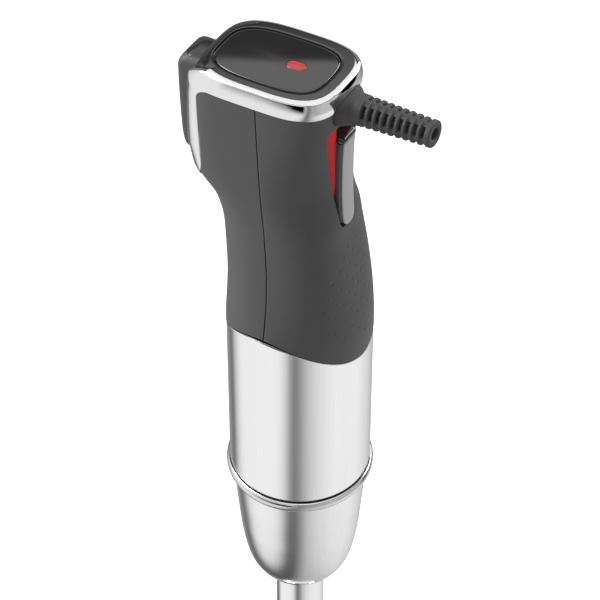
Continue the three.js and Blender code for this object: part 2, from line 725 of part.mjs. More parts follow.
const buttonFlangeSolid = block(
  flangeReach - 0.4, flangeBack, -flangeHalf, flangeHalf, flangeBottom, flangeBottom + 32,
);
const above = (level) => block(-far, far, -far, far, level, 2 * far);
const capFloor = buttonTop - buttonCapThickness;
const buttonBody = joined(buttonBlock.subtract(above(capFloor - fitGap)), buttonFlangeSolid);
place(motorUnit, "thumb_button", buttonBody, "darkPlastic");
place(motorUnit, "button_cap", buttonBlock.intersect(above(capFloor)), "glossBlack");

// ---------------------------------------------------------------- inner frame, switch, board
const frameBack = frameFront + frameThickness;
const frameBottom = upperBracketBottom + upperBracketThickness + fitGap;
const frameTop = headTop - panelThickness - 2;
const springBossEnd = 2;
const springLevel = pivotHeight + 9;
const buttonSpringLevel = (buttonBottom + buttonTop) / 2;
const buttonBossEnd = flangeBack + 9;
const shelfTop = springLevel + 8;
const switchEnd = leverFront - 2 - switchClear;
const armInner = triggerHalf + 2;
const armThickness = 2.4;
const armHalf = pivotRadius + 1.7; // bearing arms around the pin
const ledShelf = headTop - outletDrop - 2;
const arm = (side) =>
  block(
    frameBack - 1, pivotReach + armHalf,
    Math.min(side * armInner, side * (armInner + armThickness)),
    Math.max(side * armInner, side * (armInner + armThickness)),
    pivotHeight - armHalf, pivotHeight + armHalf,
  );
const frameSolid = joined(
  block(frameFront, frameBack, -frameHalf, frameHalf, frameBottom + 1, frameTop),
  block(frameFront - 5, frameBack, -frameHalf, frameHalf, frameBottom, frameBottom + 2.4),
  block(frameBack - 1, springBossEnd, -4, 4, springLevel - 4, springLevel + 4),
  block(frameBack - 1, switchEnd - 2, -5, 5, shelfTop - 2, shelfTop),
  block(buttonBossEnd, frameFront + 1, -4, 4, buttonSpringLevel - 4, buttonSpringLevel + 4),
  block(frameBack - 1, lensReach + 5, -6, 6, ledShelf - 1.6, ledShelf),
  arm(1),
  arm(-1),
).subtract(pivotHole);
place(motorUnit, "inner_frame", frameSolid, "naturalPlastic");

const switchFloor = shelfTop + fitGap;
const switchFront = switchEnd - switchLength;
const switchSolid = joined(
  block(switchFront, switchEnd, -switchHalf, switchHalf, switchFloor, switchFloor + switchHeight),
  block(switchEnd - 1, switchEnd + switchNub, -1.2, 1.2, switchFloor + 5, switchFloor + 7.4),
);
place(motorUnit, "trigger_switch", switchSolid, "darkPlastic");
const boardBack = frameFront - fitGap;
const boardFront = boardBack - boardThickness;
const boardSolid = block(boardFront, boardBack, -boardHalf, boardHalf, boardBottom, boardTop);
place(motorUnit, "control_board", boardSolid, "board");
const capacitorSolid = rod(capacitorRadius, 0, capacitorLength)
  .rotate([0, -90, 0])
  .translate([boardFront - fitGap, 0, capacitorHeight]);
place(motorUnit, "noise_capacitor", capacitorSolid, "greyPlastic");
const [finCount, finSpread, finHalf] = [5, 8, 0.7];
const sinkBack = boardFront - fitGap;
const sinkTop = sinkBase + sinkHeight;
const sinkFins = [...Array(finCount).keys()].map((i) => {
  const y = finSpread * ((2 * i) / (finCount - 1) - 1);
  return block(sinkBack - 7, sinkBack - 1, y - finHalf, y + finHalf, sinkBase, sinkTop);
});
const sinkPlate = block(sinkBack - 2, sinkBack, -finSpread - 1, finSpread + 1, sinkBase, sinkTop);
place(motorUnit, "triac_heat_sink", joined(sinkPlate, ...sinkFins), "lamination");
place(
  motorUnit,
  "indicator_board",
  block(lensReach - 5, lensReach + 5, -5.4, 5.4, ledShelf + fitGap, ledShelf + fitGap + 1.2),
  "board",
);
const guideTop = headTop - panelThickness - fitGap;
place(
  motorUnit,
  "light_guide",
  rod(guideRadius, ledShelf + 2 * fitGap + 1.2, guideTop).translate([lensReach, 0, 0]),
  "naturalPlastic",
);

// A spring lies along X between two faces, with a gap at each end.
function returnSpring(from, to, level) {
  const coil = coilSpring(springRadius, springWire, springTurns, from + fitGap, to - fitGap);
  return coil.rotate([0, 90, 0]).translate([0, 0, level]);
}
const bridgeFront = leverFront - 2;
const triggerSpring = returnSpring(springBossEnd, bridgeFront - fitGap, springLevel);
place(motorUnit, "trigger_spring", triggerSpring, "polishedSteel");
const buttonSpring = returnSpring(flangeBack, buttonBossEnd, buttonSpringLevel);
place(motorUnit, "button_spring", buttonSpring, "polishedSteel");

// ---------------------------------------------------------------- motor unit's lower half
const sleeveInner = sleeveRadius - sleeveWall;
const sleeveBlank = ring(sleeveInner, sleeveRadius, jointGap, waveHeight + 2 * waveSwing, shellSegments);
place(motorUnit, "steel_sleeve", sleeveBlank.intersect(belowSleeveEdge(-fitGap)), "brushedSteel");
const carrierRadius = sleeveInner - fitGap;
const webBottom = collarRise + 1;
const webTop = webBottom + socketWeb;
const webBore = couplingRadius + 1.6;
place(
  motorUnit,
  "leg_socket",
  turned([
    [collarRadius + slideGap, jointGap],
    [carrierRadius, jointGap],
    [carrierRadius, webTop],
    [webBore, webTop],
    [webBore, webBottom],
    [collarRadius + slideGap, webBottom],
  ]),
  "darkPlastic",
);
const bracketBottom = webTop + fitGap;
const bracketTop = bracketBottom + lowerBracketThickness;
const tieScrewHole = (x) => rod(tieScrewRadius + fitGap, -far, far).translate([x, 0, 0]);
const shaftPassage = motorShaftRadius + 2;
const bearingSeat = bearingRadius + fitGap;
const seatWall = 2.4;
const lowerBracket = turned([
  [shaftPassage, bracketBottom],
  [carrierRadius, bracketBottom],
  [carrierRadius, bracketTop],
  [bearingSeat + seatWall, bracketTop],
  [bearingSeat + seatWall, bracketTop + bearingWidth],
  [bearingSeat, bracketTop + bearingWidth],
  [bearingSeat, bracketTop],
  [shaftPassage, bracketTop],
]);
const ventHoles = [45, 135, 225, 315].map((middle) => annularSector(14, 23, middle, 24, -far, far));
const drilledLower = ventHoles.reduce((left, hole) => left.subtract(hole), lowerBracket);
place(
  motorUnit,
  "lower_bracket",
  drilledLower.subtract(tieScrewHole(tieScrewReach)).subtract(tieScrewHole(-tieScrewReach)),
  "darkPlastic",
);
const shaftFit = motorShaftRadius + fitGap;
const bearing = (z0) => ring(shaftFit, bearingRadius, z0, z0 + bearingWidth, smallSegments);
place(motorUnit, "lower_bearing", bearing(bracketTop + fitGap), "polishedSteel");

const statorTop = statorBottom + statorHeight;
const boreRadius = armatureRadius + airGap;
const coilInner = boreRadius + 1.9;
const coilOuter = coilInner + coilDepth;
const [slotHalf, poleHalf] = [64, 36]; // degrees from the middle of a pole
const slotMiddle = (slotHalf + poleHalf) / 2;
const slots = [slotMiddle, -slotMiddle, 180 + slotMiddle, 180 - slotMiddle].map((middle) =>
  annularSector(coilInner - fitGap, coilOuter + fitGap, middle, (slotHalf - poleHalf) / 2, -far, far),
);
const statorRing = ring(boreRadius, statorRadius, statorBottom, statorTop);
const slotted = slots.reduce((left, slot) => left.subtract(slot), statorRing);
place(
  motorUnit,
  "stator_core",
  slotted.subtract(tieScrewHole(tieScrewReach)).subtract(tieScrewHole(-tieScrewReach)),
  "lamination",
);
function fieldCoil(middle) {
  const clear = 1.5; // degrees between the coil and its slot's ends
  const [low, high] = [statorBottom - coilOverhang, statorTop + coilOverhang];
  const whole = annularSector(coilInner, coilOuter, middle, slotHalf - clear, low, high);
  const [poleLow, poleHigh] = [statorBottom - fitGap, statorTop + fitGap];
  return whole.subtract(
    annularSector(coilInner - 3, coilOuter + 3, middle, poleHalf + clear, poleLow, poleHigh),
  );
}
place(motorUnit, "field_coil_rear", fieldCoil(0), "copper");
place(motorUnit, "field_coil_front", fieldCoil(180), "copper");

const upperBracketTop = upperBracketBottom + upperBracketThickness;
const upperSeatTop = upperBracketTop + bearingWidth - 1.6;
const upperSeatFloor = upperBracketBottom + 1.4;
const upperPlate = joined(
  ring(shaftPassage, upperBracketRadius, upperBracketBottom, upperBracketTop).intersect(
    block(-far, far, -upperBracketFlat, upperBracketFlat, 0, far),
  ),
  rod(bearingSeat + seatWall, upperBracketBottom, upperSeatTop),
)
  .subtract(rod(bearingSeat, upperSeatFloor, far))
  .subtract(rod(shaftPassage, 0, far));
place(
  motorUnit,
  "upper_bracket",
  upperPlate.subtract(tieScrewHole(tieScrewReach)).subtract(tieScrewHole(-tieScrewReach)),
  "darkPlastic",
);
const upperBearingBottom = upperSeatFloor + fitGap;
place(motorUnit, "upper_bearing", bearing(upperBearingBottom), "polishedSteel");
for (const [name, x] of [["tie_screw_rear", tieScrewReach], ["tie_screw_front", -tieScrewReach]]) {
  const headBottom = upperBracketTop + fitGap;
  const screw = joined(
    rod(tieScrewRadius, bracketBottom + 0.4, headBottom + 0.5),
    rod(screwHeadRadius, headBottom, headBottom + screwHeadHeight),
  );
  place(motorUnit, name, screw.translate([x, 0, 0]), "polishedSteel");
}

// Brushes press on the commutator from both sides, in holders under the upper bracket.
const holderTop = upperBracketBottom - fitGap;
const holderBottom = holderTop - brushHeight - 2 * brushHolderWall - 2 * fitGap;
const brushLevel = (holderTop + holderBottom) / 2;
const holderHalf = brushWidth / 2 + brushHolderWall + fitGap;
const holderInner = commutatorRadius + 1.6;
const holderOuter = upperBracketFlat + 4;
for (const [name, side] of [["left", -1], ["right", 1]]) {
  const turn = (solid) => (side > 0 ? solid : solid.rotate([0, 0, 180]));
  const holder = block(-holderHalf, holderHalf, holderInner, holderOuter, holderBottom, holderTop).subtract(
    block(
      -brushWidth / 2 - fitGap, brushWidth / 2 + fitGap, 0, holderOuter - 1.2,
      brushLevel - brushHeight / 2 - fitGap, brushLevel + brushHeight / 2 + fitGap,
    ),
  );
  place(motorUnit, `brush_holder_${name}`, turn(holder), "brass");
  const brush = block(
    -brushWidth / 2, brushWidth / 2, commutatorRadius + fitGap, holderOuter - 4,
    brushLevel - brushHeight / 2, brushLevel + brushHeight / 2,
  );
  place(motorUnit, `carbon_brush_${name}`, turn(brush), "carbon");
}

// ---------------------------------------------------------------- rotor
const couplingTop = webTop - 0.4;
const socketDepth = hexLength + 1.6;
const shaftBottom = couplingBottom + socketDepth + 1.2;
const shaftTop = upperBearingBottom + bearingWidth;
place(motorUnit, "motor_shaft", rod(motorShaftRadius, shaftBottom + fitGap, shaftTop), "polishedSteel");
const windingRadius = armatureRadius - 1.4;
const windingReach = coilOverhang - 0.8;
place(
  motorUnit,
  "armature",
  turned([
    [shaftFit, statorBottom - windingReach],
    [windingRadius, statorBottom - windingReach],
    [windingRadius, statorBottom],
    [armatureRadius, statorBottom],
    [armatureRadius, statorTop],
    [windingRadius, statorTop],
    [windingRadius, statorTop + windingReach],
    [shaftFit, statorTop + windingReach],
  ], smallSegments),
  "copper",
);
const [commutatorLow, commutatorHigh] = [-1, 1].map((end) => brushLevel + (end * commutatorHeight) / 2);
place(
  motorUnit,
  "commutator",
  ring(shaftFit, commutatorRadius, commutatorLow, commutatorHigh, smallSegments)
    .intersect(block(-far, far, -far, far, statorTop + windingReach + fitGap, holderTop)),
  "copper",
);
const [fanHubRadius, vaneHalf] = [8, 0.6];
const [fanTop, vaneTop] = [fanBottom + fanHeight, fanBottom + fanHeight - 1];
const fanHub = ring(shaftFit, fanHubRadius, fanBottom, fanTop, smallSegments);
const fanPlate = ring(fanHubRadius - 1, fanRadius, fanBottom, fanBottom + 1.2);
const fanVane = block(fanHubRadius - 1, fanRadius - 0.5, -vaneHalf, vaneHalf, fanBottom + 0.5, vaneTop);
const fanVanes = [...Array(fanBlades).keys()].map((i) => fanVane.rotate([0, 0, (i * 360) / fanBlades]));
place(motorUnit, "cooling_fan", joined(fanHub, fanPlate, ...fanVanes), "naturalPlastic");
place(
  motorUnit,
  "drive_coupling",
  rod(couplingRadius, couplingBottom, couplingTop, 24)
    .subtract(prismZ(hexagon(hexRadius + slideGap), 0, couplingBottom + socketDepth))
    .subtract(rod(shaftFit, shaftBottom, far)),
  "naturalPlastic",
);

// ---------------------------------------------------------------- blending leg
const neckTop = legLength - beadHeight - 0.8;
const beadBottom = neckTop + fitGap;
const beadTop = legLength;
const beadInner = collarRadius + fitGap;
const beadMiddle = (beadTop + beadBottom) / 2;
const beadSteps = 4;
const bulge = beadRadius - neckRadius + 0.6;
const beadProfile = [[beadInner, beadBottom]];
for (let i = 0; i <= beadSteps; i += 1) {
  const angle = (i / beadSteps - 0.5) * Math.PI;
  const radius = beadRadius - bulge * (1 - Math.cos(angle));
  beadProfile.push([radius, beadMiddle + (beadTop - beadMiddle) * Math.sin(angle)]);
}
beadProfile.push([beadInner, beadTop]);
place(blendingLeg, "bead_ring", turned(beadProfile, shellSegments), "polishedSteel");

// The neck narrows slowly under the bead and closes like a bullet on the tube. Its outline is given
// in shares of its length, down from the bead, and of its radius.
const neckShape = [
  [0, 1], [0.2, 0.97], [0.47, 0.905], [0.61, 0.86], [0.725, 0.81],
  [0.78, 0.755], [0.835, 0.683], [0.9, 0.58], [0.955, 0.49],
];
function neckProfile(inset) {
  return neckShape.map(([down, share]) => [neckRadius * share - inset, neckTop - down * neckLength]);
}
const neckMouth = [tubeRadius + fitGap, neckTop - neckLength];
const outerNeck = [...neckProfile(0), [neckMouth[0] + 0.9, neckMouth[1]]];
const innerNeck = neckProfile(neckWall);
place(
  blendingLeg,
  "leg_neck",
  turned([...outerNeck, neckMouth, [neckMouth[0], neckMouth[1] + 3], ...innerNeck.reverse()], shellSegments),
  "brushedSteel",
);
const collarBottom = neckTop - collarFloor;
const bushOuter = driveShaftRadius + 2.4;
const bladeShaftFit = driveShaftRadius + fitGap;
const collarTop = legLength + collarRise;
const neckInner = neckRadius - neckWall;
place(
  blendingLeg,
  "leg_collar",
  turned([
    [bushOuter + fitGap, collarBottom],
    [neckInner - 1, collarBottom],
    [neckInner - 0.6, neckTop],
    [collarRadius, neckTop],
    [collarRadius, collarTop],
    [collarRadius - collarWall, collarTop],
    [collarRadius - collarWall, neckTop],
    [bushOuter + fitGap, neckTop],
  ]),
  "darkPlastic",
);
const bushCentre = (collarBottom + neckTop) / 2;
const bushTop = bushCentre + upperBushLength / 2;
const bush = (outer, z0, z1) => ring(bladeShaftFit, outer, z0, z1, smallSegments);
place(blendingLeg, "upper_bush", bush(bushOuter, bushTop - upperBushLength, bushTop), "brass");
const tubeBottom = bellHeight - 1;
const tubeTop = neckTop - neckLength + 16;
const tubeSolid = ring(tubeRadius - tubeWall, tubeRadius, tubeBottom, tubeTop);
place(blendingLeg, "shaft_tube", tubeSolid, "brushedSteel");
const tubeFill = tubeRadius - tubeWall - fitGap;
const sealTop = tubeBottom + 0.5 + sealHeight;
const lowerBushBottom = sealTop + fitGap;
place(blendingLeg, "shaft_seal", bush(tubeFill, sealTop - sealHeight, sealTop), "seal");
place(blendingLeg, "lower_bush", bush(tubeFill, lowerBushBottom, lowerBushBottom + lowerBushLength), "brass");

// The bell: a straight skirt, a round shoulder and a collar around the tube.
const bellCollarRadius = tubeRadius + fitGap + bellWall;
const skirtTop = 0.28 * bellHeight;
function bellCurve(inset) {
  const [radius, foot] = [bellRadius - inset, bellCollarRadius - inset + 1];
  const rise = bellHeight - inset - skirtTop;
  return [0, 25, 50, 75].map((angle) => [
    foot + (radius - foot) * Math.cos(angle * degrees) ** 0.9,
    skirtTop + rise * Math.sin(angle * degrees),
  ]);
}
const bellProfile = [
  [bellRadius - bellWall, 0],
  [bellRadius, 0],
  ...bellCurve(0),
  [bellCollarRadius, bellHeight + 1],
  [bellCollarRadius, bellHeight + bellCollarHeight],
  [bellCollarRadius - bellWall, bellHeight + bellCollarHeight],
  [bellCollarRadius - bellWall, bellHeight - bellWall - 0.4],
  ...bellCurve(bellWall).reverse(),
];
const archRise = windowWidth / 2.6;
function windowShape() {
  const [half, low, high] = [windowWidth / 2, windowSill, windowSill + windowHeight];
  const shape = new THREE.Shape();
  shape.moveTo(-half, low);
  shape.lineTo(half, low);
  shape.lineTo(half, high - archRise);
  shape.quadraticCurveTo(half, high, 0, high);
  shape.quadraticCurveTo(-half, high, -half, high - archRise);
  return shape;
}
const windowCuts = [...Array(windowCount).keys()].map((i) =>
  prismX(windowShape(), bellRadius / 2, far).rotate([0, 0, (i * 360) / windowCount]),
);
place(
  blendingLeg,
  "bell_guard",
  windowCuts.reduce((left, cut) => left.subtract(cut), turned(bellProfile, shellSegments)),
  "brushedSteel",
);

// ---------------------------------------------------------------- blade shaft
const shaftFoot = bladeLift - 2.2;
const couplerBottom = bushTop + 0.5;
const hexBottom = legLength + couplingBottom - 2 * slideGap;
const shaftHead = hexBottom + 4;
place(blendingLeg, "drive_shaft", rod(driveShaftRadius, shaftFoot, shaftHead), "polishedSteel");
const couplerSolid = joined(
  rod(hexRadius + 1.6, couplerBottom, hexBottom),
  prismZ(hexagon(hexRadius), hexBottom - 0.5, hexBottom + hexLength),
);
place(
  blendingLeg,
  "shaft_coupler",
  couplerSolid.subtract(rod(bladeShaftFit, 0, shaftHead + fitGap)),
  "darkPlastic",
);
function bladeWing(bend) {
  const tip = bladeSpan / 2;
  const shape = new THREE.Shape();
  shape.moveTo(0, -hubRadius);
  shape.quadraticCurveTo(tip * 0.6, -hubRadius - 1, tip, -1.2);
  shape.quadraticCurveTo(tip * 0.92, 3.6, tip * 0.55, 4.4);
  shape.quadraticCurveTo(tip * 0.3, 4.6, 0, hubRadius);
  const flat = prismZ(shape, -bladeThickness / 2, bladeThickness / 2);
  return flat
    .intersect(block(hubRadius - 1, far, -far, far, -far, far))
    .translate([-hubRadius, 0, 0])
    .rotate([0, -bend, 0])
    .translate([hubRadius, 0, 0]);
}
const bladeHeight = bladeLift + bladeThickness / 2;
const bladeDisc = rod(hubRadius + 0.6, -bladeThickness / 2, bladeThickness / 2);
const bladeSolid = joined(bladeDisc, bladeWing(bladeSweep), bladeWing(-bladeSweep / 2).rotate([0, 0, 180]))
  .rotate([0, 0, 90])
  .translate([0, 0, bladeHeight])
  .subtract(rod(bladeShaftFit, 0, far));
place(blendingLeg, "blade", bladeSolid, "polishedSteel");
const nutTop = bladeLift - fitGap;
const nutBore = rod(bladeShaftFit, shaftFoot - fitGap, far); // closed below, over the shaft's end
const nutSolid = prismZ(hexagon(nutRadius), nutTop - nutHeight, nutTop).subtract(nutBore);
place(blendingLeg, "blade_nut", nutSolid, "polishedSteel");
const hubBottom = bladeLift + bladeThickness + fitGap;
place(blendingLeg, "blade_hub", bush(hubRadius, hubBottom, hubBottom + hubHeight), "darkPlastic");

export default blender;
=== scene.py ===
"""Hand blender: a motor unit with a leaning soft-touch grip on a detachable steel blending leg.

Meshes are drawn in millimetres from the drive axis and the joint between leg and motor unit, with
+X to the back, and are placed in the CAD frame, in metres, by place().
"""
import json
import math

import bmesh
import bpy
import numpy as np
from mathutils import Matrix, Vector


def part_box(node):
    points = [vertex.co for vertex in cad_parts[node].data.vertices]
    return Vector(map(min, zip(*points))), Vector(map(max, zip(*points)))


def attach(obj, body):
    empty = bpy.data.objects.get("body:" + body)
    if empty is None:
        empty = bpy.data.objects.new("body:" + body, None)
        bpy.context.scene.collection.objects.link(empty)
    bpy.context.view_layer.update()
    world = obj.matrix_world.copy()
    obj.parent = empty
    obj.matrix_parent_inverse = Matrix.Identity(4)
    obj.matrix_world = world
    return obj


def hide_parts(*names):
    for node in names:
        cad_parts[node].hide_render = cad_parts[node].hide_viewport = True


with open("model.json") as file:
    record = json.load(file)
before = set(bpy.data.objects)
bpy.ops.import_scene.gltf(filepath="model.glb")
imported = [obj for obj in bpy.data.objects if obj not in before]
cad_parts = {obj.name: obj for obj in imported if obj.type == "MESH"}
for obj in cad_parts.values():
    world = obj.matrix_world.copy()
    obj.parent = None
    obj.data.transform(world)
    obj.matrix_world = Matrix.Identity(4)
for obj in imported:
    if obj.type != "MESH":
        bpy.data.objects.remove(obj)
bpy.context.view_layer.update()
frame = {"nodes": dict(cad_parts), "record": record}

# ---------------------------------------------------------------- camera
# A long lens, turned and dropped about the axis of the motor sleeve, so that it looks down on the
# head from the back corner of the blender.
sleeve_low, sleeve_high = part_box("steel_sleeve")
axis_x = (sleeve_low[0] + sleeve_high[0]) / 2
joint_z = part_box("bead_ring")[1][2]
view_turn = math.radians(31)
view_drop = math.radians(44.335)
stand_off = 0.7384
stand_up = 0.8111

lens = bpy.data.cameras.new("studio_camera")
lens.sensor_width = 36
lens.lens = 153.3
lens.clip_end = 20
camera = bpy.data.objects.new("studio_camera", lens)
bpy.context.collection.objects.link(camera)
camera.location = (
    axis_x + stand_off * math.sin(view_turn), -stand_off * math.cos(view_turn), joint_z + stand_up,
)
camera.rotation_euler = (math.pi / 2 - view_drop, 0, view_turn)
bpy.context.scene.camera = camera
bpy.context.scene.view_settings.view_transform = "Standard"


# ---------------------------------------------------------------- studio
# White floor and surround. Shiny parts see a pale room with a dark strip behind the camera, grey
# screens higher up and a bright ceiling. Everything else is lit by an even white and two soft lamps.
def node(tree, kind, **settings):
    """A new node with its settings."""
    made = tree.nodes.new(kind)
    for name, value in settings.items():
        setattr(made, name, value)
    return made


def maths(tree, operation, *values):
    """A Math node's result, from numbers or from other nodes' results."""
    made = node(tree, "ShaderNodeMath", operation=operation)
    for socket, value in zip(made.inputs, values):
        if isinstance(value, (int, float)):
            socket.default_value = value
        else:
            tree.links.new(value, socket)
    return made.outputs[0]


def product(tree, *values):
    """All the values multiplied."""
    result = values[0]
    for value in values[1:]:
        result = maths(tree, "MULTIPLY", result, value)
    return result


def ramp(tree, value, stops):
    """A straight-line scale through (place, level) stops."""
    made = node(tree, "ShaderNodeValToRGB")
    points = made.color_ramp.elements
    while len(points) < len(stops):
        points.new(0.5)
    for point, (position, level) in zip(points, stops):
        point.position = position
        point.color = (level, level, level, 1)
    tree.links.new(value, made.inputs[0])
    return made.outputs[0]


surround = bpy.data.worlds.new("white_studio")
bpy.context.scene.world = surround
surround.use_nodes = True
sky = surround.node_tree
sky.nodes.clear()
direction = node(sky, "ShaderNodeTexCoord").outputs["Generated"]
turned_room = node(sky, "ShaderNodeVectorRotate", rotation_type="Z_AXIS")
sky.links.new(direction, turned_room.inputs["Vector"])
turned_room.inputs["Angle"].default_value = math.pi / 2 - view_turn
axes = node(sky, "ShaderNodeSeparateXYZ")
sky.links.new(turned_room.outputs[0], axes.inputs[0])
toward, aside, upward = axes.outputs


def as_place(value):
    """A value from -1 to 1, moved to the 0 to 1 that a ramp takes."""
    return maths(sky, "MULTIPLY_ADD", value, 0.5, 0.5)


def darkened(level, *masks):
    """The level, less each mask's share of it."""
    for mask in masks:
        level = maths(sky, "MULTIPLY", level, maths(sky, "SUBTRACT", 1, mask))
    return level


toward_place, aside_place, up_place = as_place(toward), as_place(aside), as_place(upward)
# The strip behind the camera: dark at its middle, and shifting to the left further down.
strip = maths(sky, "ADD", maths(sky, "MULTIPLY_ADD", toward, -0.3125, aside), 0.311)
strip_place = as_place(strip)
strip_level = ramp(sky, strip_place, [
    (0.345, 1.0), (0.38, 0.94), (0.42, 0.76), (0.455, 0.42), (0.485, 0.25), (0.51, 0.25), (0.55, 0.37),
    (0.60, 0.55), (0.65, 0.69), (0.73, 0.84), (0.81, 0.93), (0.88, 1.0),
])
back_level = ramp(sky, toward_place, [
    (0.15, 0.45), (0.185, 0.58), (0.26, 0.78), (0.365, 0.92), (0.42, 1.0),
])
# Further down its core is darker still, and so is the room to its right.
core = ramp(sky, strip_place, [(0.40, 0.0), (0.47, 1.0), (0.53, 1.0), (0.64, 0.0)])
low_core = product(sky, core, ramp(sky, up_place, [(0.0, 0.65), (0.09, 0.3), (0.13, 0.0)]))
low_right = product(
    sky, ramp(sky, strip_place, [(0.505, 0.0), (0.53, 1.0)]),
    ramp(sky, up_place, [(0.0, 0.36), (0.02, 0.34), (0.05, 0.22), (0.095, 0.07), (0.14, 0.0)]),
)
low_room = darkened(product(sky, strip_level, back_level), low_core, low_right)
# Higher up come a dark cloud to the left of the camera, a duller right side, a black screen behind
# on the right, a dark strip below the ceiling and a bright ceiling.
cloud = product(
    sky,
    ramp(sky, up_place, [
        (0.20, 0.0), (0.23, 0.07), (0.285, 0.45), (0.32, 0.68), (0.36, 0.85), (0.44, 1.0), (0.56, 1.0),
        (0.585, 0.0),
    ]),
    ramp(sky, toward_place, [
        (0.68, 0.0), (0.725, 0.32), (0.76, 0.44), (0.8, 0.56), (0.85, 0.62), (0.9, 0.86), (0.95, 1.0),
    ]),
    ramp(sky, aside_place, [(0.37, 1.0), (0.44, 0.0)]),
)
CLOUD_GAIN, ROOM_LEVEL, PLAIN_LEVEL = 1.3, 0.9, 0.52
cloud = maths(sky, "MINIMUM", maths(sky, "MULTIPLY", cloud, CLOUD_GAIN), 1)
above_floor = ramp(sky, up_place, [(0.17, 0.0), (0.22, 1.0)])
dull_right = product(sky, above_floor, ramp(sky, aside_place, [(0.55, 0.0), (0.65, 0.38)]))
screen = product(
    sky,
    ramp(sky, maths(sky, "MULTIPLY_ADD", toward, 0.8, up_place), [(0.05, 0.0), (0.1, 1.0)]),
    ramp(sky, toward_place, [(0.425, 1.0), (0.5, 0.0)]),
    ramp(sky, aside_place, [(0.72, 0.0), (0.8, 1.0)]),
    ramp(sky, up_place, [(0.18, 0.0), (0.21, 1.0), (0.56, 1.0), (0.6, 0.0)]),
)
under_ceiling = ramp(sky, up_place, [(0.72, 0.0), (0.745, 0.9), (0.784, 0.9), (0.797, 0.0)])
room_level = darkened(
    maths(sky, "MULTIPLY", low_room, ROOM_LEVEL), cloud, dull_right, screen, under_ceiling,
)
ceiling = ramp(sky, up_place, [(0.786, 0.0), (0.797, 1.0)])
shine = maths(sky, "MAXIMUM", room_level, ceiling)

# The camera and glass see plain white, gloss sees the room, and all else is lit at the plain level.
rays = node(sky, "ShaderNodeLightPath")
glossy = rays.outputs["Is Glossy Ray"]
seen = maths(sky, "MAXIMUM", rays.outputs["Is Camera Ray"], rays.outputs["Is Transmission Ray"])
diffuse_part = maths(sky, "MULTIPLY", PLAIN_LEVEL, maths(sky, "SUBTRACT", 1, glossy))
glossy_part = maths(sky, "MULTIPLY", shine, glossy)
lit = maths(sky, "ADD", diffuse_part, glossy_part)
strength = maths(sky, "MAXIMUM", lit, seen)
room = node(sky, "ShaderNodeBackground")
room.inputs["Color"].default_value = (1, 1, 1, 1)
sky.links.new(strength, room.inputs["Strength"])
world_out = node(sky, "ShaderNodeOutputWorld")
sky.links.new(room.outputs[0], world_out.inputs["Surface"])

FLOOR_REACH, FLOOR_GLOW = 8, 0.4
floor_mesh = bpy.data.meshes.new("studio_floor")
floor_corners = [(x * FLOOR_REACH, y * FLOOR_REACH, 0) for x, y in [(-1, -1), (1, -1), (1, 1), (-1, 1)]]
floor_mesh.from_pydata(floor_corners, [], [(0, 1, 2, 3)])
floor = bpy.data.objects.new("studio_floor", floor_mesh)
bpy.context.collection.objects.link(floor)
floor.visible_glossy = False
floor_paint = bpy.data.materials.new("white_floor")
floor_paint.use_nodes = True
tree = floor_paint.node_tree
tree.nodes.clear()
matt = node(tree, "ShaderNodeBsdfDiffuse")
matt.inputs["Color"].default_value = (0.9, 0.9, 0.9, 1)
glow = node(tree, "ShaderNodeEmission")
from_camera = node(tree, "ShaderNodeLightPath").outputs["Is Camera Ray"]
tree.links.new(maths(tree, "MULTIPLY", from_camera, FLOOR_GLOW), glow.inputs["Strength"])
both = node(tree, "ShaderNodeAddShader")
tree.links.new(matt.outputs[0], both.inputs[0])
tree.links.new(glow.outputs[0], both.inputs[1])
tree.links.new(both.outputs[0], node(tree, "ShaderNodeOutputMaterial").inputs["Surface"])
floor_mesh.materials.append(floor_paint)

# The lamps aim at the grip, this far above the joint in metres.
AIM_HEIGHT = 0.13


def soft_lamp(name, turn, lift, distance, size, power):
    """A soft square lamp, aimed at the grip from an angle to the right of the camera."""
    lamp = bpy.data.lights.new(name, "AREA")
    lamp.size = size
    lamp.energy = power
    lamp.specular_factor = 0.0
    holder = bpy.data.objects.new(name, lamp)
    bpy.context.collection.objects.link(holder)
    aim = Vector((axis_x, 0, joint_z + AIM_HEIGHT))
    angle = view_turn - math.pi / 2 + math.radians(turn)
    away = Vector((
        math.cos(angle) * math.cos(math.radians(lift)),
        math.sin(angle) * math.cos(math.radians(lift)),
        math.sin(math.radians(lift)),
    ))
    holder.location = aim + distance * away
    holder.rotation_euler = away.to_track_quat("Z", "Y").to_euler()


soft_lamp("key_left", -95, 35, 1.5, 0.9, 24)
soft_lamp("fill_right", 125, 25, 1.5, 1.0, 16)

# ---------------------------------------------------------------- leg: bead ring
# A thin polished ring that closes the leg's cup, spun from stainless steel and rolled over the edge
# of the neck. A narrow groove on its top parts it from the motor sleeve; a dark ring laid in the
# groove is painted shade, standing in for the shade under the sleeve's edge.
MM = 0.001


def place(point):
    """From millimetres about the joint to the CAD frame in metres."""
    return (axis_x + point[0] * MM, point[1] * MM, joint_z + point[2] * MM)


def loops_to_faces(loops, count, round_loops=False, round_points=True):
    """Quads between neighbouring loops of equal point counts."""
    faces = []
    for level in range(loops if round_loops else loops - 1):
        above = (level + 1) % loops
        for i in range(count if round_points else count - 1):
            j = (i + 1) % count
            faces.append((level * count + i, level * count + j, above * count + j, above * count + i))
    return faces


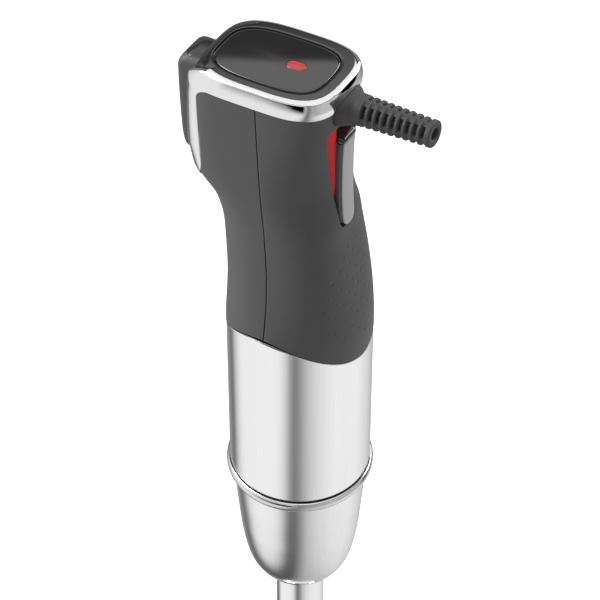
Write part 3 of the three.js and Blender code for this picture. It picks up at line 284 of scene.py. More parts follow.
def body_from(name, points, faces, crease=32):
    """A closed mesh, welded, with its faces out, smooth except where it turns sharply."""
    mesh = bpy.data.meshes.new(name)
    mesh.from_pydata([place(point) for point in points], [], faces)
    work = bmesh.new()
    work.from_mesh(mesh)
    bmesh.ops.remove_doubles(work, verts=work.verts, dist=0.004 * MM)
    bmesh.ops.recalc_face_normals(work, faces=work.faces)
    work.to_mesh(mesh)
    work.free()
    mesh.shade_smooth()
    mesh.set_sharp_from_angle(angle=math.radians(crease))
    piece = bpy.data.objects.new(name, mesh)
    bpy.context.collection.objects.link(piece)
    return piece


# The CAD nodes that drawn pieces stand in for; the others keep their solids.
fitted = set()


def fit(piece, body, slot, finish, *nodes):
    """Gives the piece its finish, and lets it ride on a body in place of its CAD nodes."""
    fitted.update(nodes)
    piece.data.materials.clear()
    piece.data.materials.append(finish)
    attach(piece, body)
    if nodes:
        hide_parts(*nodes)


LONG_STRAIGHT, FROM_END = 1.5, 0.25


def supported(path):
    """Adds a point close to each end of every long straight, which keeps its shading flat."""
    held = []
    for i, here in enumerate(path):
        held.append(here)
        there = path[(i + 1) % len(path)]
        length = math.dist(here, there)
        if length > LONG_STRAIGHT:
            for share in (FROM_END / length, 1 - FROM_END / length):
                held.append(tuple(a + (b - a) * share for a, b in zip(here, there)))
    return held


def turn_piece(name, profile, segments=128, crease=32):
    """A piece turned about the drive axis from a closed profile of (radius, height)."""
    profile = supported(profile)
    points = []
    for radius, height in profile:
        for k in range(segments):
            angle = 2 * math.pi * k / segments
            points.append((radius * math.cos(angle), radius * math.sin(angle), height))
    return body_from(name, points, loops_to_faces(len(profile), segments, round_loops=True), crease)


def new_group(name, inputs, outputs):
    """A shader node group with named sockets, each (name, kind, value)."""
    group = bpy.data.node_groups.new(name, "ShaderNodeTree")
    for label, kind, value in inputs:
        socket = group.interface.new_socket(label, in_out="INPUT", socket_type=kind)
        socket.default_value = value
    for label, kind in outputs:
        group.interface.new_socket(label, in_out="OUTPUT", socket_type=kind)
    return group, node(group, "NodeGroupInput").outputs, node(group, "NodeGroupOutput").inputs


FLOAT, COLOR = "NodeSocketFloat", "NodeSocketColor"


def tinted(tree, color, value):
    """The colour, scaled by a value."""
    scaled = node(tree, "ShaderNodeVectorMath", operation="SCALE")
    tree.links.new(color, scaled.inputs[0])
    tree.links.new(value, scaled.inputs["Scale"])
    return scaled.outputs[0]


def add_metal_lines():
    """Fine polishing or brushing lines: a stretched noise that varies colour, gloss and height."""
    group, given, out = new_group(
        "metal_lines",
        [("Color", COLOR, (0.7, 0.7, 0.7, 1)), ("Roughness", FLOAT, 0.25), ("Along X", FLOAT, 1.0),
         ("Along Z", FLOAT, 0.02), ("Fineness", FLOAT, 900.0), ("Amount", FLOAT, 0.06)],
        [("Color", COLOR), ("Roughness", FLOAT), ("Height", FLOAT)],
    )
    spread = node(group, "ShaderNodeCombineXYZ")
    group.links.new(given["Along X"], spread.inputs[0])
    group.links.new(given["Along X"], spread.inputs[1])
    group.links.new(given["Along Z"], spread.inputs[2])
    stretched = node(group, "ShaderNodeVectorMath", operation="MULTIPLY")
    group.links.new(node(group, "ShaderNodeTexCoord").outputs["Object"], stretched.inputs[0])
    group.links.new(spread.outputs[0], stretched.inputs[1])
    lines = node(group, "ShaderNodeTexNoise")
    lines.inputs["Detail"].default_value = 3
    lines.inputs["Roughness"].default_value = 0.6
    group.links.new(stretched.outputs[0], lines.inputs["Vector"])
    group.links.new(given["Fineness"], lines.inputs["Scale"])
    broad = node(group, "ShaderNodeTexNoise")
    broad.inputs["Detail"].default_value = 2
    group.links.new(stretched.outputs[0], broad.inputs["Vector"])
    group.links.new(maths(group, "MULTIPLY", given["Fineness"], 0.12), broad.inputs["Scale"])
    ripple = maths(group, "SUBTRACT", lines.outputs[0], 0.5)
    swell = maths(group, "SUBTRACT", broad.outputs[0], 0.5)
    mixed = maths(group, "MULTIPLY_ADD", swell, 0.8, ripple)
    shade = maths(group, "MULTIPLY_ADD", mixed, given["Amount"], 1.0)
    group.links.new(tinted(group, given["Color"], shade), out["Color"])
    gloss = maths(group, "MULTIPLY", mixed, maths(group, "MULTIPLY", given["Amount"], 2.5))
    rough = maths(group, "MULTIPLY_ADD", gloss, given["Roughness"], given["Roughness"])
    group.links.new(rough, out["Roughness"])
    group.links.new(lines.outputs[0], out["Height"])
    return group


metal_lines = add_metal_lines()


def apply_group(material, group, values, bump=0.0, distance=0.00005):
    """Places a group in a material and links what it gives to the surface shader."""
    tree = material.node_tree
    surface = tree.nodes["Principled BSDF"]
    effect = node(tree, "ShaderNodeGroup", node_tree=group)
    for label, value in values.items():
        effect.inputs[label].default_value = value
    tree.links.new(effect.outputs["Color"], surface.inputs["Base Color"])
    tree.links.new(effect.outputs["Roughness"], surface.inputs["Roughness"])
    if bump:
        relief = node(tree, "ShaderNodeBump")
        relief.inputs["Strength"].default_value = bump
        relief.inputs["Distance"].default_value = distance
        tree.links.new(effect.outputs["Height"], relief.inputs["Height"])
        tree.links.new(relief.outputs[0], surface.inputs["Normal"])
    return surface


def metal(name, color, roughness, along_x, along_z, fineness=900.0, amount=0.06, bump=0.05):
    """A metal whose lines stretch along X and Y or along Z, the more the smaller the number."""
    material = bpy.data.materials.new(name)
    material.use_nodes = True
    surface = apply_group(material, metal_lines, {
        "Color": (*color, 1), "Roughness": roughness, "Along X": along_x, "Along Z": along_z,
        "Fineness": fineness, "Amount": amount,
    }, bump)
    surface.inputs["Metallic"].default_value = 1
    return material


polished_ring = metal("polished_ring", (0.78, 0.78, 0.79), 0.2, 0.05, 1.0)
BEAD_OUTER, BEAD_ROOT, BEAD_INNER, GROOVE_OUTER = 31.4, 28.0, 24.6, 30.2
GROOVE_WALL, GROOVE_FLOOR = 29.95, -1.7
BEAD_MIDDLE, BEAD_TALL, BEAD_BOTTOM = -2.95, 2.75, -5.9
bead_profile = [(BEAD_INNER, BEAD_BOTTOM + 0.3), (27.2, BEAD_BOTTOM)]
for k in range(25):
    angle = math.pi * (k / 24 - 0.5)
    wide = max(math.cos(angle), 0) ** 0.5
    tall = math.copysign(abs(math.sin(angle)) ** 0.9, math.sin(angle))
    radius = BEAD_ROOT + (BEAD_OUTER - BEAD_ROOT) * wide
    if angle < 0 or radius > GROOVE_OUTER:
        bead_profile.append((radius, BEAD_MIDDLE + BEAD_TALL * tall))
bead_profile += [
    (30.1, -0.6), (GROOVE_WALL, -0.95), (GROOVE_WALL, GROOVE_FLOOR), (BEAD_INNER, GROOVE_FLOOR),
]
bead = turn_piece("bead_ring_turned", bead_profile, 160)
fit(bead, "blending_leg", "polished_steel", polished_ring, "bead_ring")

# ---------------------------------------------------------------- leg: neck and tube
# The neck is deep drawn from stainless sheet: nearly straight under the bead, then closing like a
# bullet on the drive tube. Both are brushed lengthwise and welded where they meet.
brushed_steel = metal("brushed_steel_upright", (0.94, 0.94, 0.945), 0.14, 1.0, 0.012, 1100.0, 0.08, 0.05)
# The neck's line from the side, as (height, radius).
neck_outline = [
    (-5.7, 28.5), (-20.0, 27.6), (-30.0, 26.85), (-40.0, 26.0), (-50.0, 24.8), (-58.0, 23.3), (-63.0, 21.7),
    (-67.0, 19.6), (-70.5, 17.1), (-73.2, 14.1), (-75.0, 11.7), (-75.6, 10.75),
]


def smooth_line(stops, steps):
    """Points on a smooth curve through the stops."""
    stops = [Vector(stop) for stop in stops]
    path = []
    for i in range(len(stops) - 1):
        p0, p1, p2 = stops[max(i - 1, 0)], stops[i], stops[i + 1]
        p3 = stops[min(i + 2, len(stops) - 1)]
        for k in range(steps):
            t = k / steps
            path.append(tuple(0.5 * (
                2 * p1 + (p2 - p0) * t + (2 * p0 - 5 * p1 + 4 * p2 - p3) * t**2
                + (3 * p1 - p0 - 3 * p2 + p3) * t**3
            )))
    path.append(tuple(stops[-1]))
    return path


NECK_BORE, NECK_END, NECK_WALL = 10.66, -75.55, 1.2
neck_curve = smooth_line(neck_outline, 6)
neck_profile = [(radius, height) for height, radius in neck_curve]
neck_profile += [(NECK_BORE, NECK_END)]
neck_profile += [(max(radius - NECK_WALL, NECK_BORE), height + 0.5) for height, radius in neck_curve[::-1]]
neck = turn_piece("leg_neck_drawn", neck_profile, 160)
fit(neck, "blending_leg", "brushed_steel", brushed_steel, "leg_neck")


def rounded(corners, closed=True):
    """A profile of (u, v, radius) corners, with each corner rounded by about its radius."""
    path = []
    count = len(corners)
    for i, (u, v, radius) in enumerate(corners):
        here = Vector((u, v))
        if radius == 0 or (not closed and i in (0, count - 1)):
            path.append((u, v))
            continue
        before = Vector(corners[i - 1][:2]) - here
        after = Vector(corners[(i + 1) % count][:2]) - here
        back_off = min(radius, 0.45 * before.length, 0.45 * after.length)
        start, end = here + before.normalized() * back_off, here + after.normalized() * back_off
        steps = 5
        for k in range(steps + 1):
            t = k / steps
            point = start * (1 - t) ** 2 + here * 2 * t * (1 - t) + end * t**2
            path.append((point.x, point.y))
    return path


TUBE_OUTER, TUBE_INNER = 10.6, 9.5
tube_low, tube_high = [(corner[2] - joint_z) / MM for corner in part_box("shaft_tube")]
tube = turn_piece("shaft_tube_drawn", rounded([
    (TUBE_OUTER, tube_low, 0.3), (TUBE_OUTER, tube_high, 0.3), (TUBE_INNER, tube_high, 0.3),
    (TUBE_INNER, tube_low, 0.3),
]), 96)
fit(tube, "blending_leg", "brushed_steel", brushed_steel, "shaft_tube")

# ---------------------------------------------------------------- motor unit: steel sleeve
# A drawn stainless sleeve around the motor, brushed lengthwise. Its upper edge is trimmed to a wave
# that rises at the sides, and the soft-touch shells close against it.
WAVE_HEIGHT, WAVE_SWING, WAVE_GAP = 83.2, 7.8, 0.1
SLEEVE, SLEEVE_WALL = 30.0, 0.8


def wave(angle):
    """Height of the wave between sleeve and shells, round the drive axis."""
    return WAVE_HEIGHT - WAVE_SWING * np.cos(2 * angle)


segments = 192
lower_edge = [(SLEEVE_WALL, 0.4), (0.25, 0.4), (0.08, 0.47), (0, 0.65), (0, 0.9)]
upper_edge = [(0, -0.6), (0, -0.35), (0.1, -0.15), (0.35, -0.08), (SLEEVE_WALL, -0.1)]
points = []
for edge, is_top in [(lower_edge, False), (upper_edge, True)]:
    for inset, level in edge:
        radius = SLEEVE - inset
        for k in range(segments):
            angle = 2 * math.pi * k / segments
            height = (wave(angle) - WAVE_GAP if is_top else 0) + level
            points.append((radius * math.cos(angle), radius * math.sin(angle), height))
loop_count = len(lower_edge) + len(upper_edge)
sleeve = body_from(
    "steel_sleeve_brushed", points, loops_to_faces(loop_count, segments, round_loops=True),
)
fit(sleeve, "motor_unit", "brushed_steel", brushed_steel, "steel_sleeve")

# ---------------------------------------------------------------- motor unit: grip shells
# Two moulded shells with a matt soft-touch coat, closed along a seam on each side. Their outer form
# leans with the head, and the back shell carries a field of small dimples for the fingers.
TILT_ANGLE = math.radians(3)
TILT = math.tan(TILT_ANGLE)
# Height, reach to the front and back, half width, squareness of front and back, and the seam.
SECTIONS = np.array([
    (60, 30.1, 30.1, 30.1, 2, 2, 0),
    (84, 30.1, 30.1, 30.1, 2, 2, 0),
    (96, 29.5, 29.2, 27.8, 2.1, 2.2, 0),
    (108, 29.1, 27.3, 25.7, 2.2, 2.55, -0.3),
    (122, 29.7, 25, 24, 2.3, 2.8, -1),
    (136, 30.6, 22.7, 23, 2.4, 2.8, -2.2),
    (144, 31.8, 22, 22.6, 2.7, 2.6, -2.9),
    (150, 34, 21.5, 22.5, 3, 2.2, -3.5),
    (158, 40.7, 21.1, 22.5, 3.5, 1.9, -4.1),
    (164, 41.2, 20.9, 22.4, 3.9, 1.9, -4.6),
    (178, 40.8, 20.5, 21.9, 4.6, 2.25, -5.6),
    (192, 40.3, 20.4, 21.4, 5, 2.9, -6.5),
    (200, 40.1, 20.6, 21.2, 4.9, 3.2, -6.9),
    (205, 39.7, 20.8, 21.1, 4.5, 3.4, -7.2),
    (208, 38.4, 20.5, 20.8, 3.9, 3.4, -7.5),
    (210.5, 37, 19.4, 20.1, 3.3, 3.4, -7.7),
    (214, 33.5, 17, 17.8, 2.9, 3.4, -7.9),
])


def section_at(height):
    """The section's six values at each height, on a smooth curve through the table."""
    levels, last = SECTIONS[:, 0], len(SECTIONS) - 1
    i = np.clip(np.searchsorted(levels, height, side="right") - 1, 0, last - 1)
    before, low = SECTIONS[np.maximum(i - 1, 0)], SECTIONS[i]
    high, after = SECTIONS[i + 1], SECTIONS[np.minimum(i + 2, last)]
    span = high[..., :1] - low[..., :1]
    t = np.clip((height[..., None] - low[..., :1]) / span, 0, 1)
    slope_low = (high - before) / (high[..., :1] - before[..., :1]) * span
    slope_high = (after - low) / (after[..., :1] - low[..., :1]) * span
    value = (2 * t**3 - 3 * t**2 + 1) * low + (3 * t**2 - 2 * t**3) * high
    value += (t**3 - 2 * t**2 + t) * slope_low + (t**3 - t**2) * slope_high
    return [value[..., k] for k in range(1, 7)]


LEAN_FROM, LEAN_RUN = 150, 50


def head_lean(height):
    """Slope along X at a height: level up to LEAN_FROM, and the head's full tilt LEAN_RUN above it."""
    share = np.clip((height - LEAN_FROM) / LEAN_RUN, 0, 1)
    return TILT * share * share * (3 - 2 * share)


def form(phi, height, out=0.0):
    """Points on the grip's outer form, by the angle about the seam line and the height."""
    phi, height, out = np.broadcast_arrays(phi, height, out)
    phi, height, out = (np.asarray(a, float) for a in (phi, height, out))
    front, back, half, front_square, back_square, seam = section_at(height)
    c, s = np.cos(phi), np.sin(phi)
    reach = np.where(c < 0, front + seam, back - seam) + out
    square = np.where(c < 0, front_square, back_square)
    radius = ((np.abs(c) / reach) ** square + (np.abs(s) / (half + out)) ** square) ** (-1 / square)
    x = seam + radius * c
    return np.stack([x, radius * s, height + head_lean(height) * x], axis=-1)


# The chrome trim's seat, as a region of the form: a band above BAND_LOW and two legs down the front
# corners to TRIM_TIP, each LEG_INSET from the middle.
BAND_LOW, LEG_INSET, TRIM_TIP = 202.2, 13.5, 150.2


def leg_inner(height):
    """Back edge of the trim's legs, as a place along X."""
    straight = np.interp(height, [163, 196], [-32.0, -33.8])
    foot = np.clip((height - TRIM_TIP) / (166 - TRIM_TIP), 0, 1)
    return straight - 3.4 * (1 - np.sin(foot * math.pi / 2) ** 0.8)


def in_trim(points, heights):
    """How far inside the trim's region a point lies, in millimetres; negative outside."""
    x, y = points[..., 0], np.abs(points[..., 1])
    band = heights - BAND_LOW
    leg = np.minimum(np.minimum(leg_inner(heights) - x, y - LEG_INSET), heights - TRIM_TIP)
    # The legs flow into the band with a rounded corner. Between them, at the front, there is no trim.
    blend = 5.0
    mixed = np.maximum(band, leg) + np.clip(blend - np.abs(band - leg), 0, None) ** 2 / (4 * blend)
    between = (x < -30) & (y < LEG_INSET)
    return np.where(between, np.minimum(y - LEG_INSET, 0), mixed)


SHELL_WALL = 2.2
# Rows of a shell are numbered by height. Those below LEVEL_ROW spread to follow the wavy edge, which
# is the row EDGE_ROW.
EDGE_ROW, LEVEL_ROW = 76, 100.0


def shell_grid(name, columns, levels, edge_roll, shape):
    """A shell between the wavy edge and the band, with rolled edges and a plain inner face."""
    phi = np.array(columns)[None, :]
    rows = np.array(levels)[:, None]
    # The edge's height hangs on the form's direction, and that on the height: both are found in turns.
    start = np.full((1, len(columns)), 84.0)
    for _ in range(6):
        edge = form(phi, start)
        start = wave(np.arctan2(edge[..., 1], edge[..., 0])) + WAVE_GAP
    share = np.clip((rows - EDGE_ROW) / (LEVEL_ROW - EDGE_ROW), 0, 1)
    heights = np.where(rows < LEVEL_ROW, start + (LEVEL_ROW - start) * share, rows)
    outer = form(phi, heights, edge_roll(phi, rows))
    outer = form(phi, heights, edge_roll(phi, rows) + shape(outer, heights))
    inner = form(phi, heights, -SHELL_WALL + 0 * rows)
    count_rows, count = outer.shape[:2]
    points = np.concatenate([outer.reshape(-1, 3), inner.reshape(-1, 3)])
    half = count_rows * count
    faces = loops_to_faces(count_rows, count, round_points=False)
    faces += [tuple(half + i for i in reversed(face)) for face in faces]
    # Walls join the outer and the inner face along all four edges.
    along_rows = [
        (row * count + i, row * count + i + 1)
        for row in (0, count_rows - 1) for i in range(count - 1)
    ]
    along_columns = [
        (k * count + column, (k + 1) * count + column)
        for column in (0, count - 1) for k in range(count_rows - 1)
    ]
    faces += [(a, b, b + half, a + half) for a, b in along_rows + along_columns]
    return body_from(name, points, faces, 40)


def cut(piece, cutter, operation="DIFFERENCE", crease=40):
    """Cuts one closed mesh with another, and drops the cutter."""
    change = piece.modifiers.new("cut", "BOOLEAN")
    change.object = cutter
    change.operation = operation
    change.solver = "EXACT"
    made = piece.evaluated_get(bpy.context.evaluated_depsgraph_get())
    mesh = bpy.data.meshes.new_from_object(made)
    old = piece.data
    piece.modifiers.clear()
    piece.data = mesh
    mesh.name = piece.name
    bpy.data.meshes.remove(old)
    bpy.data.objects.remove(cutter)
    mesh.shade_smooth()
    mesh.set_sharp_from_angle(angle=math.radians(crease))


def prism(name, outline, low, high, axis="X"):
    """A closed prism of a drawn outline along X (drawn in Y, Z), Y (in X, Z) or Z (in X, Y)."""
    order = {
        "X": lambda u, v, w: (w, u, v), "Y": lambda u, v, w: (u, w, v), "Z": lambda u, v, w: (u, v, w),
    }[axis]
    points = [order(u, v, w) for w in (low, high) for u, v in outline]
    count = len(outline)
    faces = loops_to_faces(2, count) + [tuple(range(count)), tuple(range(2 * count - 1, count - 1, -1))]
    return body_from(name, points, faces)


# The gap left at the shells' seam, and a moulded edge's fall, as (distance from the edge, drop).
SEAM_GAP = 0.14
ROLL = [(0.0, 0.55), (0.06, 0.3), (0.18, 0.14), (0.36, 0.04), (0.6, 0.0)]


def roll_at(distance):
    """How far a moulded edge falls away, by the distance from the edge."""
    return -np.interp(distance, [d for d, _ in ROLL], [drop for _, drop in ROLL])


# Millimetres round the grip to a radian, at the seam.
SEAM_REACH = 24
edge_columns = [d / SEAM_REACH for d in (SEAM_GAP, 0.2, 0.32, 0.5, 0.75)]
levels_edge = [EDGE_ROW + distance for distance, _ in ROLL] + [EDGE_ROW + 1.2]


def shell_roll(phi, rows):
    """The fall of a shell's edges along its seam and along the wave."""
    from_seam = SEAM_REACH * np.abs(np.abs(phi) - math.pi / 2)
    return np.minimum(roll_at(np.maximum(from_seam - SEAM_GAP, 0)), roll_at(rows - EDGE_ROW))


# Dimples stand in staggered columns inside an oval field on the back shell.
DIMPLE_RADIUS, DIMPLE_DEPTH = 0.95, 0.32
DIMPLE_ROW, DIMPLE_COLUMN, DIMPLE_TOP = 4.1, 3.4, 133.5
FIELD_MIDDLE, FIELD_WIDE, FIELD_TALL = 111, 17.6, 23.6
GIRTH_RADIUS, BACK_RADIUS = 27, 26
dimples = []
for k in range(12):
    level = DIMPLE_TOP - DIMPLE_ROW * k
    for column in range(-6, 7):
        across = DIMPLE_COLUMN * column
        inside = (across / FIELD_WIDE) ** 2 + ((level - FIELD_MIDDLE) / FIELD_TALL) ** 2 < 1
        if (column + k) % 2 and inside:
            dimples.append((across, level))


def dimple_drop(points, heights):
    """How far the dimples sink the surface, by the distance round the grip and the height."""
    girth = np.arctan2(points[..., 1], points[..., 0]) * GIRTH_RADIUS
    drop = np.zeros_like(heights)
    for across, level in dimples:
        middle = math.atan2(across, math.sqrt(BACK_RADIUS**2 - across**2)) * GIRTH_RADIUS
        away = np.hypot(girth - middle, heights - level) / DIMPLE_RADIUS
        drop -= DIMPLE_DEPTH * np.where(away < 1, np.cos(np.minimum(away, 1) * math.pi / 2) ** 2, 0)
    return drop


SEAT_DEPTH, SEAT_EDGE, SEAT_INSET = 1.5, 0.4, 0.25


def recess(points, heights):
    """The seat of the trim, let into the shell."""
    return -SEAT_DEPTH * np.clip(in_trim(points, heights) - SEAT_INSET, 0, SEAT_EDGE) / SEAT_EDGE


# The trigger's slot, in Y and Z: wide at the top and narrow and round at its lower end.
SLOT_LOW, SLOT_HIGH, SLOT_NARROW, SLOT_WIDE, SLOT_GAP = 143.4, 193.6, 4.5, 11.3, 0.4


def slot_outline(gap):
    """The slot's outline, larger all round by a gap."""
    low, high = SLOT_LOW - gap, SLOT_HIGH + gap
    half = rounded([
        (0, low, 0), (SLOT_NARROW + gap, low, 4.2), (SLOT_WIDE + gap, high, 3.8), (0, high, 0),
    ], False)
    return half + [(-u, v) for u, v in half[-2:0:-1]]


def slot_half(level):
    """Half width of the slot at a height."""
    outline = np.array([point for point in slot_outline(0.0) if point[0] >= 0])
    outline = outline[np.argsort(outline[:, 1])]
    return np.interp(level, outline[:, 1], outline[:, 0])


def slot_edge(points):
    """The slot's rolled edge, by the distance from its outline."""
    outline = np.array(slot_outline(SLOT_GAP))
    u, v = points[..., 1], points[..., 2]
    nearest = np.full(u.shape, 1e9)
    for (u0, v0), (u1, v1) in zip(outline, np.roll(outline, -1, axis=0)):
        run, climb = u1 - u0, v1 - v0
        along = np.clip(((u - u0) * run + (v - v0) * climb) / (run**2 + climb**2), 0, 1)
        nearest = np.minimum(nearest, np.hypot(u - u0 - along * run, v - v0 - along * climb))
    return np.where(points[..., 0] > 0, 0.8 * roll_at(nearest), 0)


# Columns and rows of both shells, closer together at the edges and over the dimples.
quarter = math.pi / 2
columns_back = [-quarter + d for d in edge_columns] + list(np.linspace(-1.5, 1.5, 171))
columns_back += [quarter - d for d in reversed(edge_columns)]
levels_back = levels_edge + list(np.arange(78.4, 86, 1.2)) + list(np.arange(86.4, 136, 0.5))
levels_back += list(np.arange(137, 201, 0.75)) + [201.6, 202.2, 202.8, 203.4]
back_shell = shell_grid(
    "rear_grip_shell", columns_back, levels_back, shell_roll,
    lambda points, heights: dimple_drop(points, heights) + recess(points, heights) + slot_edge(points),
)
columns_front = [quarter + d for d in edge_columns] + list(np.linspace(1.65, 2 * math.pi - 1.65, 150))
columns_front += [3 * quarter - d for d in reversed(edge_columns)]
levels_front = levels_edge + list(np.arange(78.5, 148, 1.6)) + list(np.arange(148, 203.6, 0.9)) + [203.6]
front_shell = shell_grid("front_grip_shell", columns_front, levels_front, shell_roll, recess)
cut(back_shell, prism("trigger_slot", slot_outline(SLOT_GAP), 5, 60))


def add_moulded_grain():
    """Moulded or coated plastic: fine grain in height and gloss, with faint handling marks."""
    group, given, out = new_group(
        "moulded_grain",
        [("Color", COLOR, (0.05, 0.05, 0.05, 1)), ("Roughness", FLOAT, 0.5), ("Grain Scale", FLOAT, 4000.0),
         ("Mottle", FLOAT, 0.06), ("Gloss Spread", FLOAT, 0.08)],
        [("Color", COLOR), ("Roughness", FLOAT), ("Height", FLOAT)],
    )
    place_on = node(group, "ShaderNodeTexCoord").outputs["Object"]
    grain = node(group, "ShaderNodeTexNoise")
    grain.inputs["Detail"].default_value = 2
    group.links.new(place_on, grain.inputs["Vector"])
    group.links.new(given["Grain Scale"], grain.inputs["Scale"])
    marks = node(group, "ShaderNodeTexNoise")
    marks.inputs["Detail"].default_value = 4
    marks.inputs["Scale"].default_value = 45
    group.links.new(place_on, marks.inputs["Vector"])
    fine = maths(group, "SUBTRACT", grain.outputs[0], 0.5)
    broad = maths(group, "SUBTRACT", marks.outputs[0], 0.5)
    mixed = maths(group, "MULTIPLY_ADD", fine, 0.7, broad)
    shade = maths(group, "MULTIPLY_ADD", mixed, given["Mottle"], 1.0)
    group.links.new(tinted(group, given["Color"], shade), out["Color"])
    rough = maths(group, "MULTIPLY_ADD", mixed, given["Gloss Spread"], given["Roughness"])
    group.links.new(rough, out["Roughness"])
    group.links.new(grain.outputs[0], out["Height"])
    return group


moulded_grain = add_moulded_grain()


def moulded(name, color, roughness, grain=4000.0, mottle=0.12, spread=0.1, bump=0.12, distance=0.00004):
    """A plastic with its own colour, gloss and grain."""
    material = bpy.data.materials.new(name)
    material.use_nodes = True
    apply_group(material, moulded_grain, {
        "Color": (*color, 1), "Roughness": roughness, "Grain Scale": grain, "Mottle": mottle,
        "Gloss Spread": spread,
    }, bump, distance)
    return material


soft_touch = moulded("soft_touch_coat", (0.052, 0.052, 0.053), 0.55)
soft_touch.node_tree.nodes["Principled BSDF"].inputs["Sheen Weight"].default_value = 0.06
fit(back_shell, "motor_unit", "soft_touch_grey", soft_touch, "rear_grip")
fit(front_shell, "motor_unit", "soft_touch_grey", soft_touch, "front_shell")

# ---------------------------------------------------------------- motor unit: chrome trim
# One moulded and chrome-plated strip, clipped round the sides and back of the head. Its two legs run
# down the front corners, past the thumb button, and end in points.
HEAD_TOP = 210.5
TRIM_PROUD, TRIM_WALL, LEG_PROUD = 0.4, 1.6, 1.2
# Radius of the long edges, and of the upper one round the head.
EDGE, UPPER_EDGE = 0.55, 1.2
# The bend between band and leg: where it starts along X, how far it runs, and where the leg starts.
BEND_FROM, BEND_RUN, BEND_LOW, BEND_TOP_FROM = -26.5, 7.2, 195.6, -29.5
# Where the trim meets the panel's front lip: half width and height.
LIP_SEAM = np.array([
    (17.3, 210.5), (16.8, 209.7), (16.2, 208.9), (15.4, 207.6), (14.4, 205.8), (13.7, 203.8), (13.5, 201.5),
])


def solve(function, low, high):
    """Where a falling function crosses zero, for each element, by halving the span."""
    low, high = np.broadcast_arrays(np.asarray(low, float), np.asarray(high, float))
    low, high = low.copy(), high.copy()
    for _ in range(32):
        middle = (low + high) / 2
        above = function(middle) > 0
        low = np.where(above, middle, low)
        high = np.where(above, high, middle)
    return (low + high) / 2


def phi_at_x(x, height):
    """Where the form is this far along X."""
    end = np.broadcast_to(math.pi, np.shape(height))
    return solve(lambda phi: form(phi, height)[..., 0] - x, 0.0, end)


def phi_at_y(y, height):
    """On the front half, where the form is this far from the middle plane."""
    start = np.broadcast_to(math.pi / 2, np.shape(height))
    return solve(lambda phi: form(phi, height)[..., 1] - y, start, math.pi)


def trim_lines():
    """Upper or outer edge and lower or inner edge of one half, from the back middle to the tip."""
    outer, inner = [], []
    corner_phi = float(phi_at_x(BEND_FROM, np.array(BAND_LOW)))
    corner_top = float(phi_at_x(BEND_TOP_FROM, np.array(HEAD_TOP)))
    for t in np.linspace(0, 1, 60):
        outer.append((t * corner_top, HEAD_TOP))
        inner.append((t * corner_phi, BAND_LOW))
    steps = 30
    corner_y = float(form(corner_top, HEAD_TOP)[1])
    for k in range(1, steps + 1):
        t = k / steps
        angle = t * math.pi / 2
        height_in = BEND_LOW + (BAND_LOW - BEND_LOW) * math.cos(angle)
        x_in = BEND_FROM - BEND_RUN * math.sin(angle)
        inner.append((float(phi_at_x(x_in, np.array(height_in))), height_in))
        # The outer line first runs along the top to the lip's seam, and then down the seam.
        if t < 0.3:
            y_here, height_out = corner_y + (LIP_SEAM[0, 0] - corner_y) * (t / 0.3), HEAD_TOP
        else:
            along = (t - 0.3) / 0.7 * (len(LIP_SEAM) - 1)
            y_here = float(np.interp(along, range(len(LIP_SEAM)), LIP_SEAM[:, 0]))
            height_out = float(np.interp(along, range(len(LIP_SEAM)), LIP_SEAM[:, 1]))
        outer.append((float(phi_at_y(y_here, np.array(height_out))), height_out))
    for t in np.linspace(0, 1, 70)[1:]:
        low = BEND_LOW - (BEND_LOW - TRIM_TIP) * t
        high = LIP_SEAM[-1, 1] - (LIP_SEAM[-1, 1] - TRIM_TIP) * t
        outer.append((float(phi_at_y(LEG_INSET, np.array(high))), high))
        inner.append((float(phi_at_x(float(leg_inner(np.array(low))), np.array(low))), low))
    return np.array(outer), np.array(inner)


def stack(name, rings, crease=32):
    """A closed mesh from rings of points, with its first and last ring filled."""
    count = len(rings[0])
    last = (len(rings) - 1) * count
    faces = loops_to_faces(len(rings), count)
    faces += [tuple(range(count)), tuple(range(last, last + count))]
    return body_from(name, [tuple(point) for ring in rings for point in ring], faces, crease)


def trim_piece():
    """A strip lofted between the two lines, with rounded edges, standing proud of its seat."""
    outer, inner = trim_lines()
    across = []
    for high, low in zip(outer, inner):
        width = float(np.linalg.norm(form(*high) - form(*low)))
        # The legs stand further out than the band, fading out again towards their tips.
        extra = LEG_PROUD * min(max((HEAD_TOP - high[1]) / 4, 0), max((high[1] - 161) / 11, 0), 1)
        upper = EDGE + (UPPER_EDGE - EDGE) * min(max((high[1] - 203.5) / 5, 0), 1)
        upper, lower = min(upper, 0.49 * width), min(EDGE, 0.49 * width)
        turns = np.linspace(0, math.pi / 2, 8)
        spots = [upper * (1 - math.cos(a)) for a in turns]
        spots += list(np.linspace(upper, width - lower, 12)[1:-1])
        spots += [width - lower * (1 - math.cos(a)) for a in turns[::-1]]
        ring = []
        for d in spots:
            edge, side = (upper, d) if d < upper else (lower, width - d)
            drop = edge - math.sqrt(max(edge**2 - (edge - min(side, edge)) ** 2, 0))
            share = d / max(width, 1e-6)
            ring.append((high + (low - high) * share, TRIM_PROUD - drop + extra * (1 - share)))
        ring += [(low, TRIM_PROUD - TRIM_WALL), (high, TRIM_PROUD - TRIM_WALL)]
        across.append(ring)
    near, far = [
        [[form(mirror * spot[0], spot[1], out) for spot, out in ring] for ring in across]
        for mirror in (-1, 1)
    ]
    return stack("chrome_trim_plated", near[::-1] + far[1:], 50)


trim = trim_piece()
chrome_plate = metal("chrome_plate", (0.86, 0.86, 0.87), 0.05, 1.0, 1.0, 300.0, 0.02, 0.0)
fit(trim, "motor_unit", "chrome", chrome_plate, "chrome_trim")

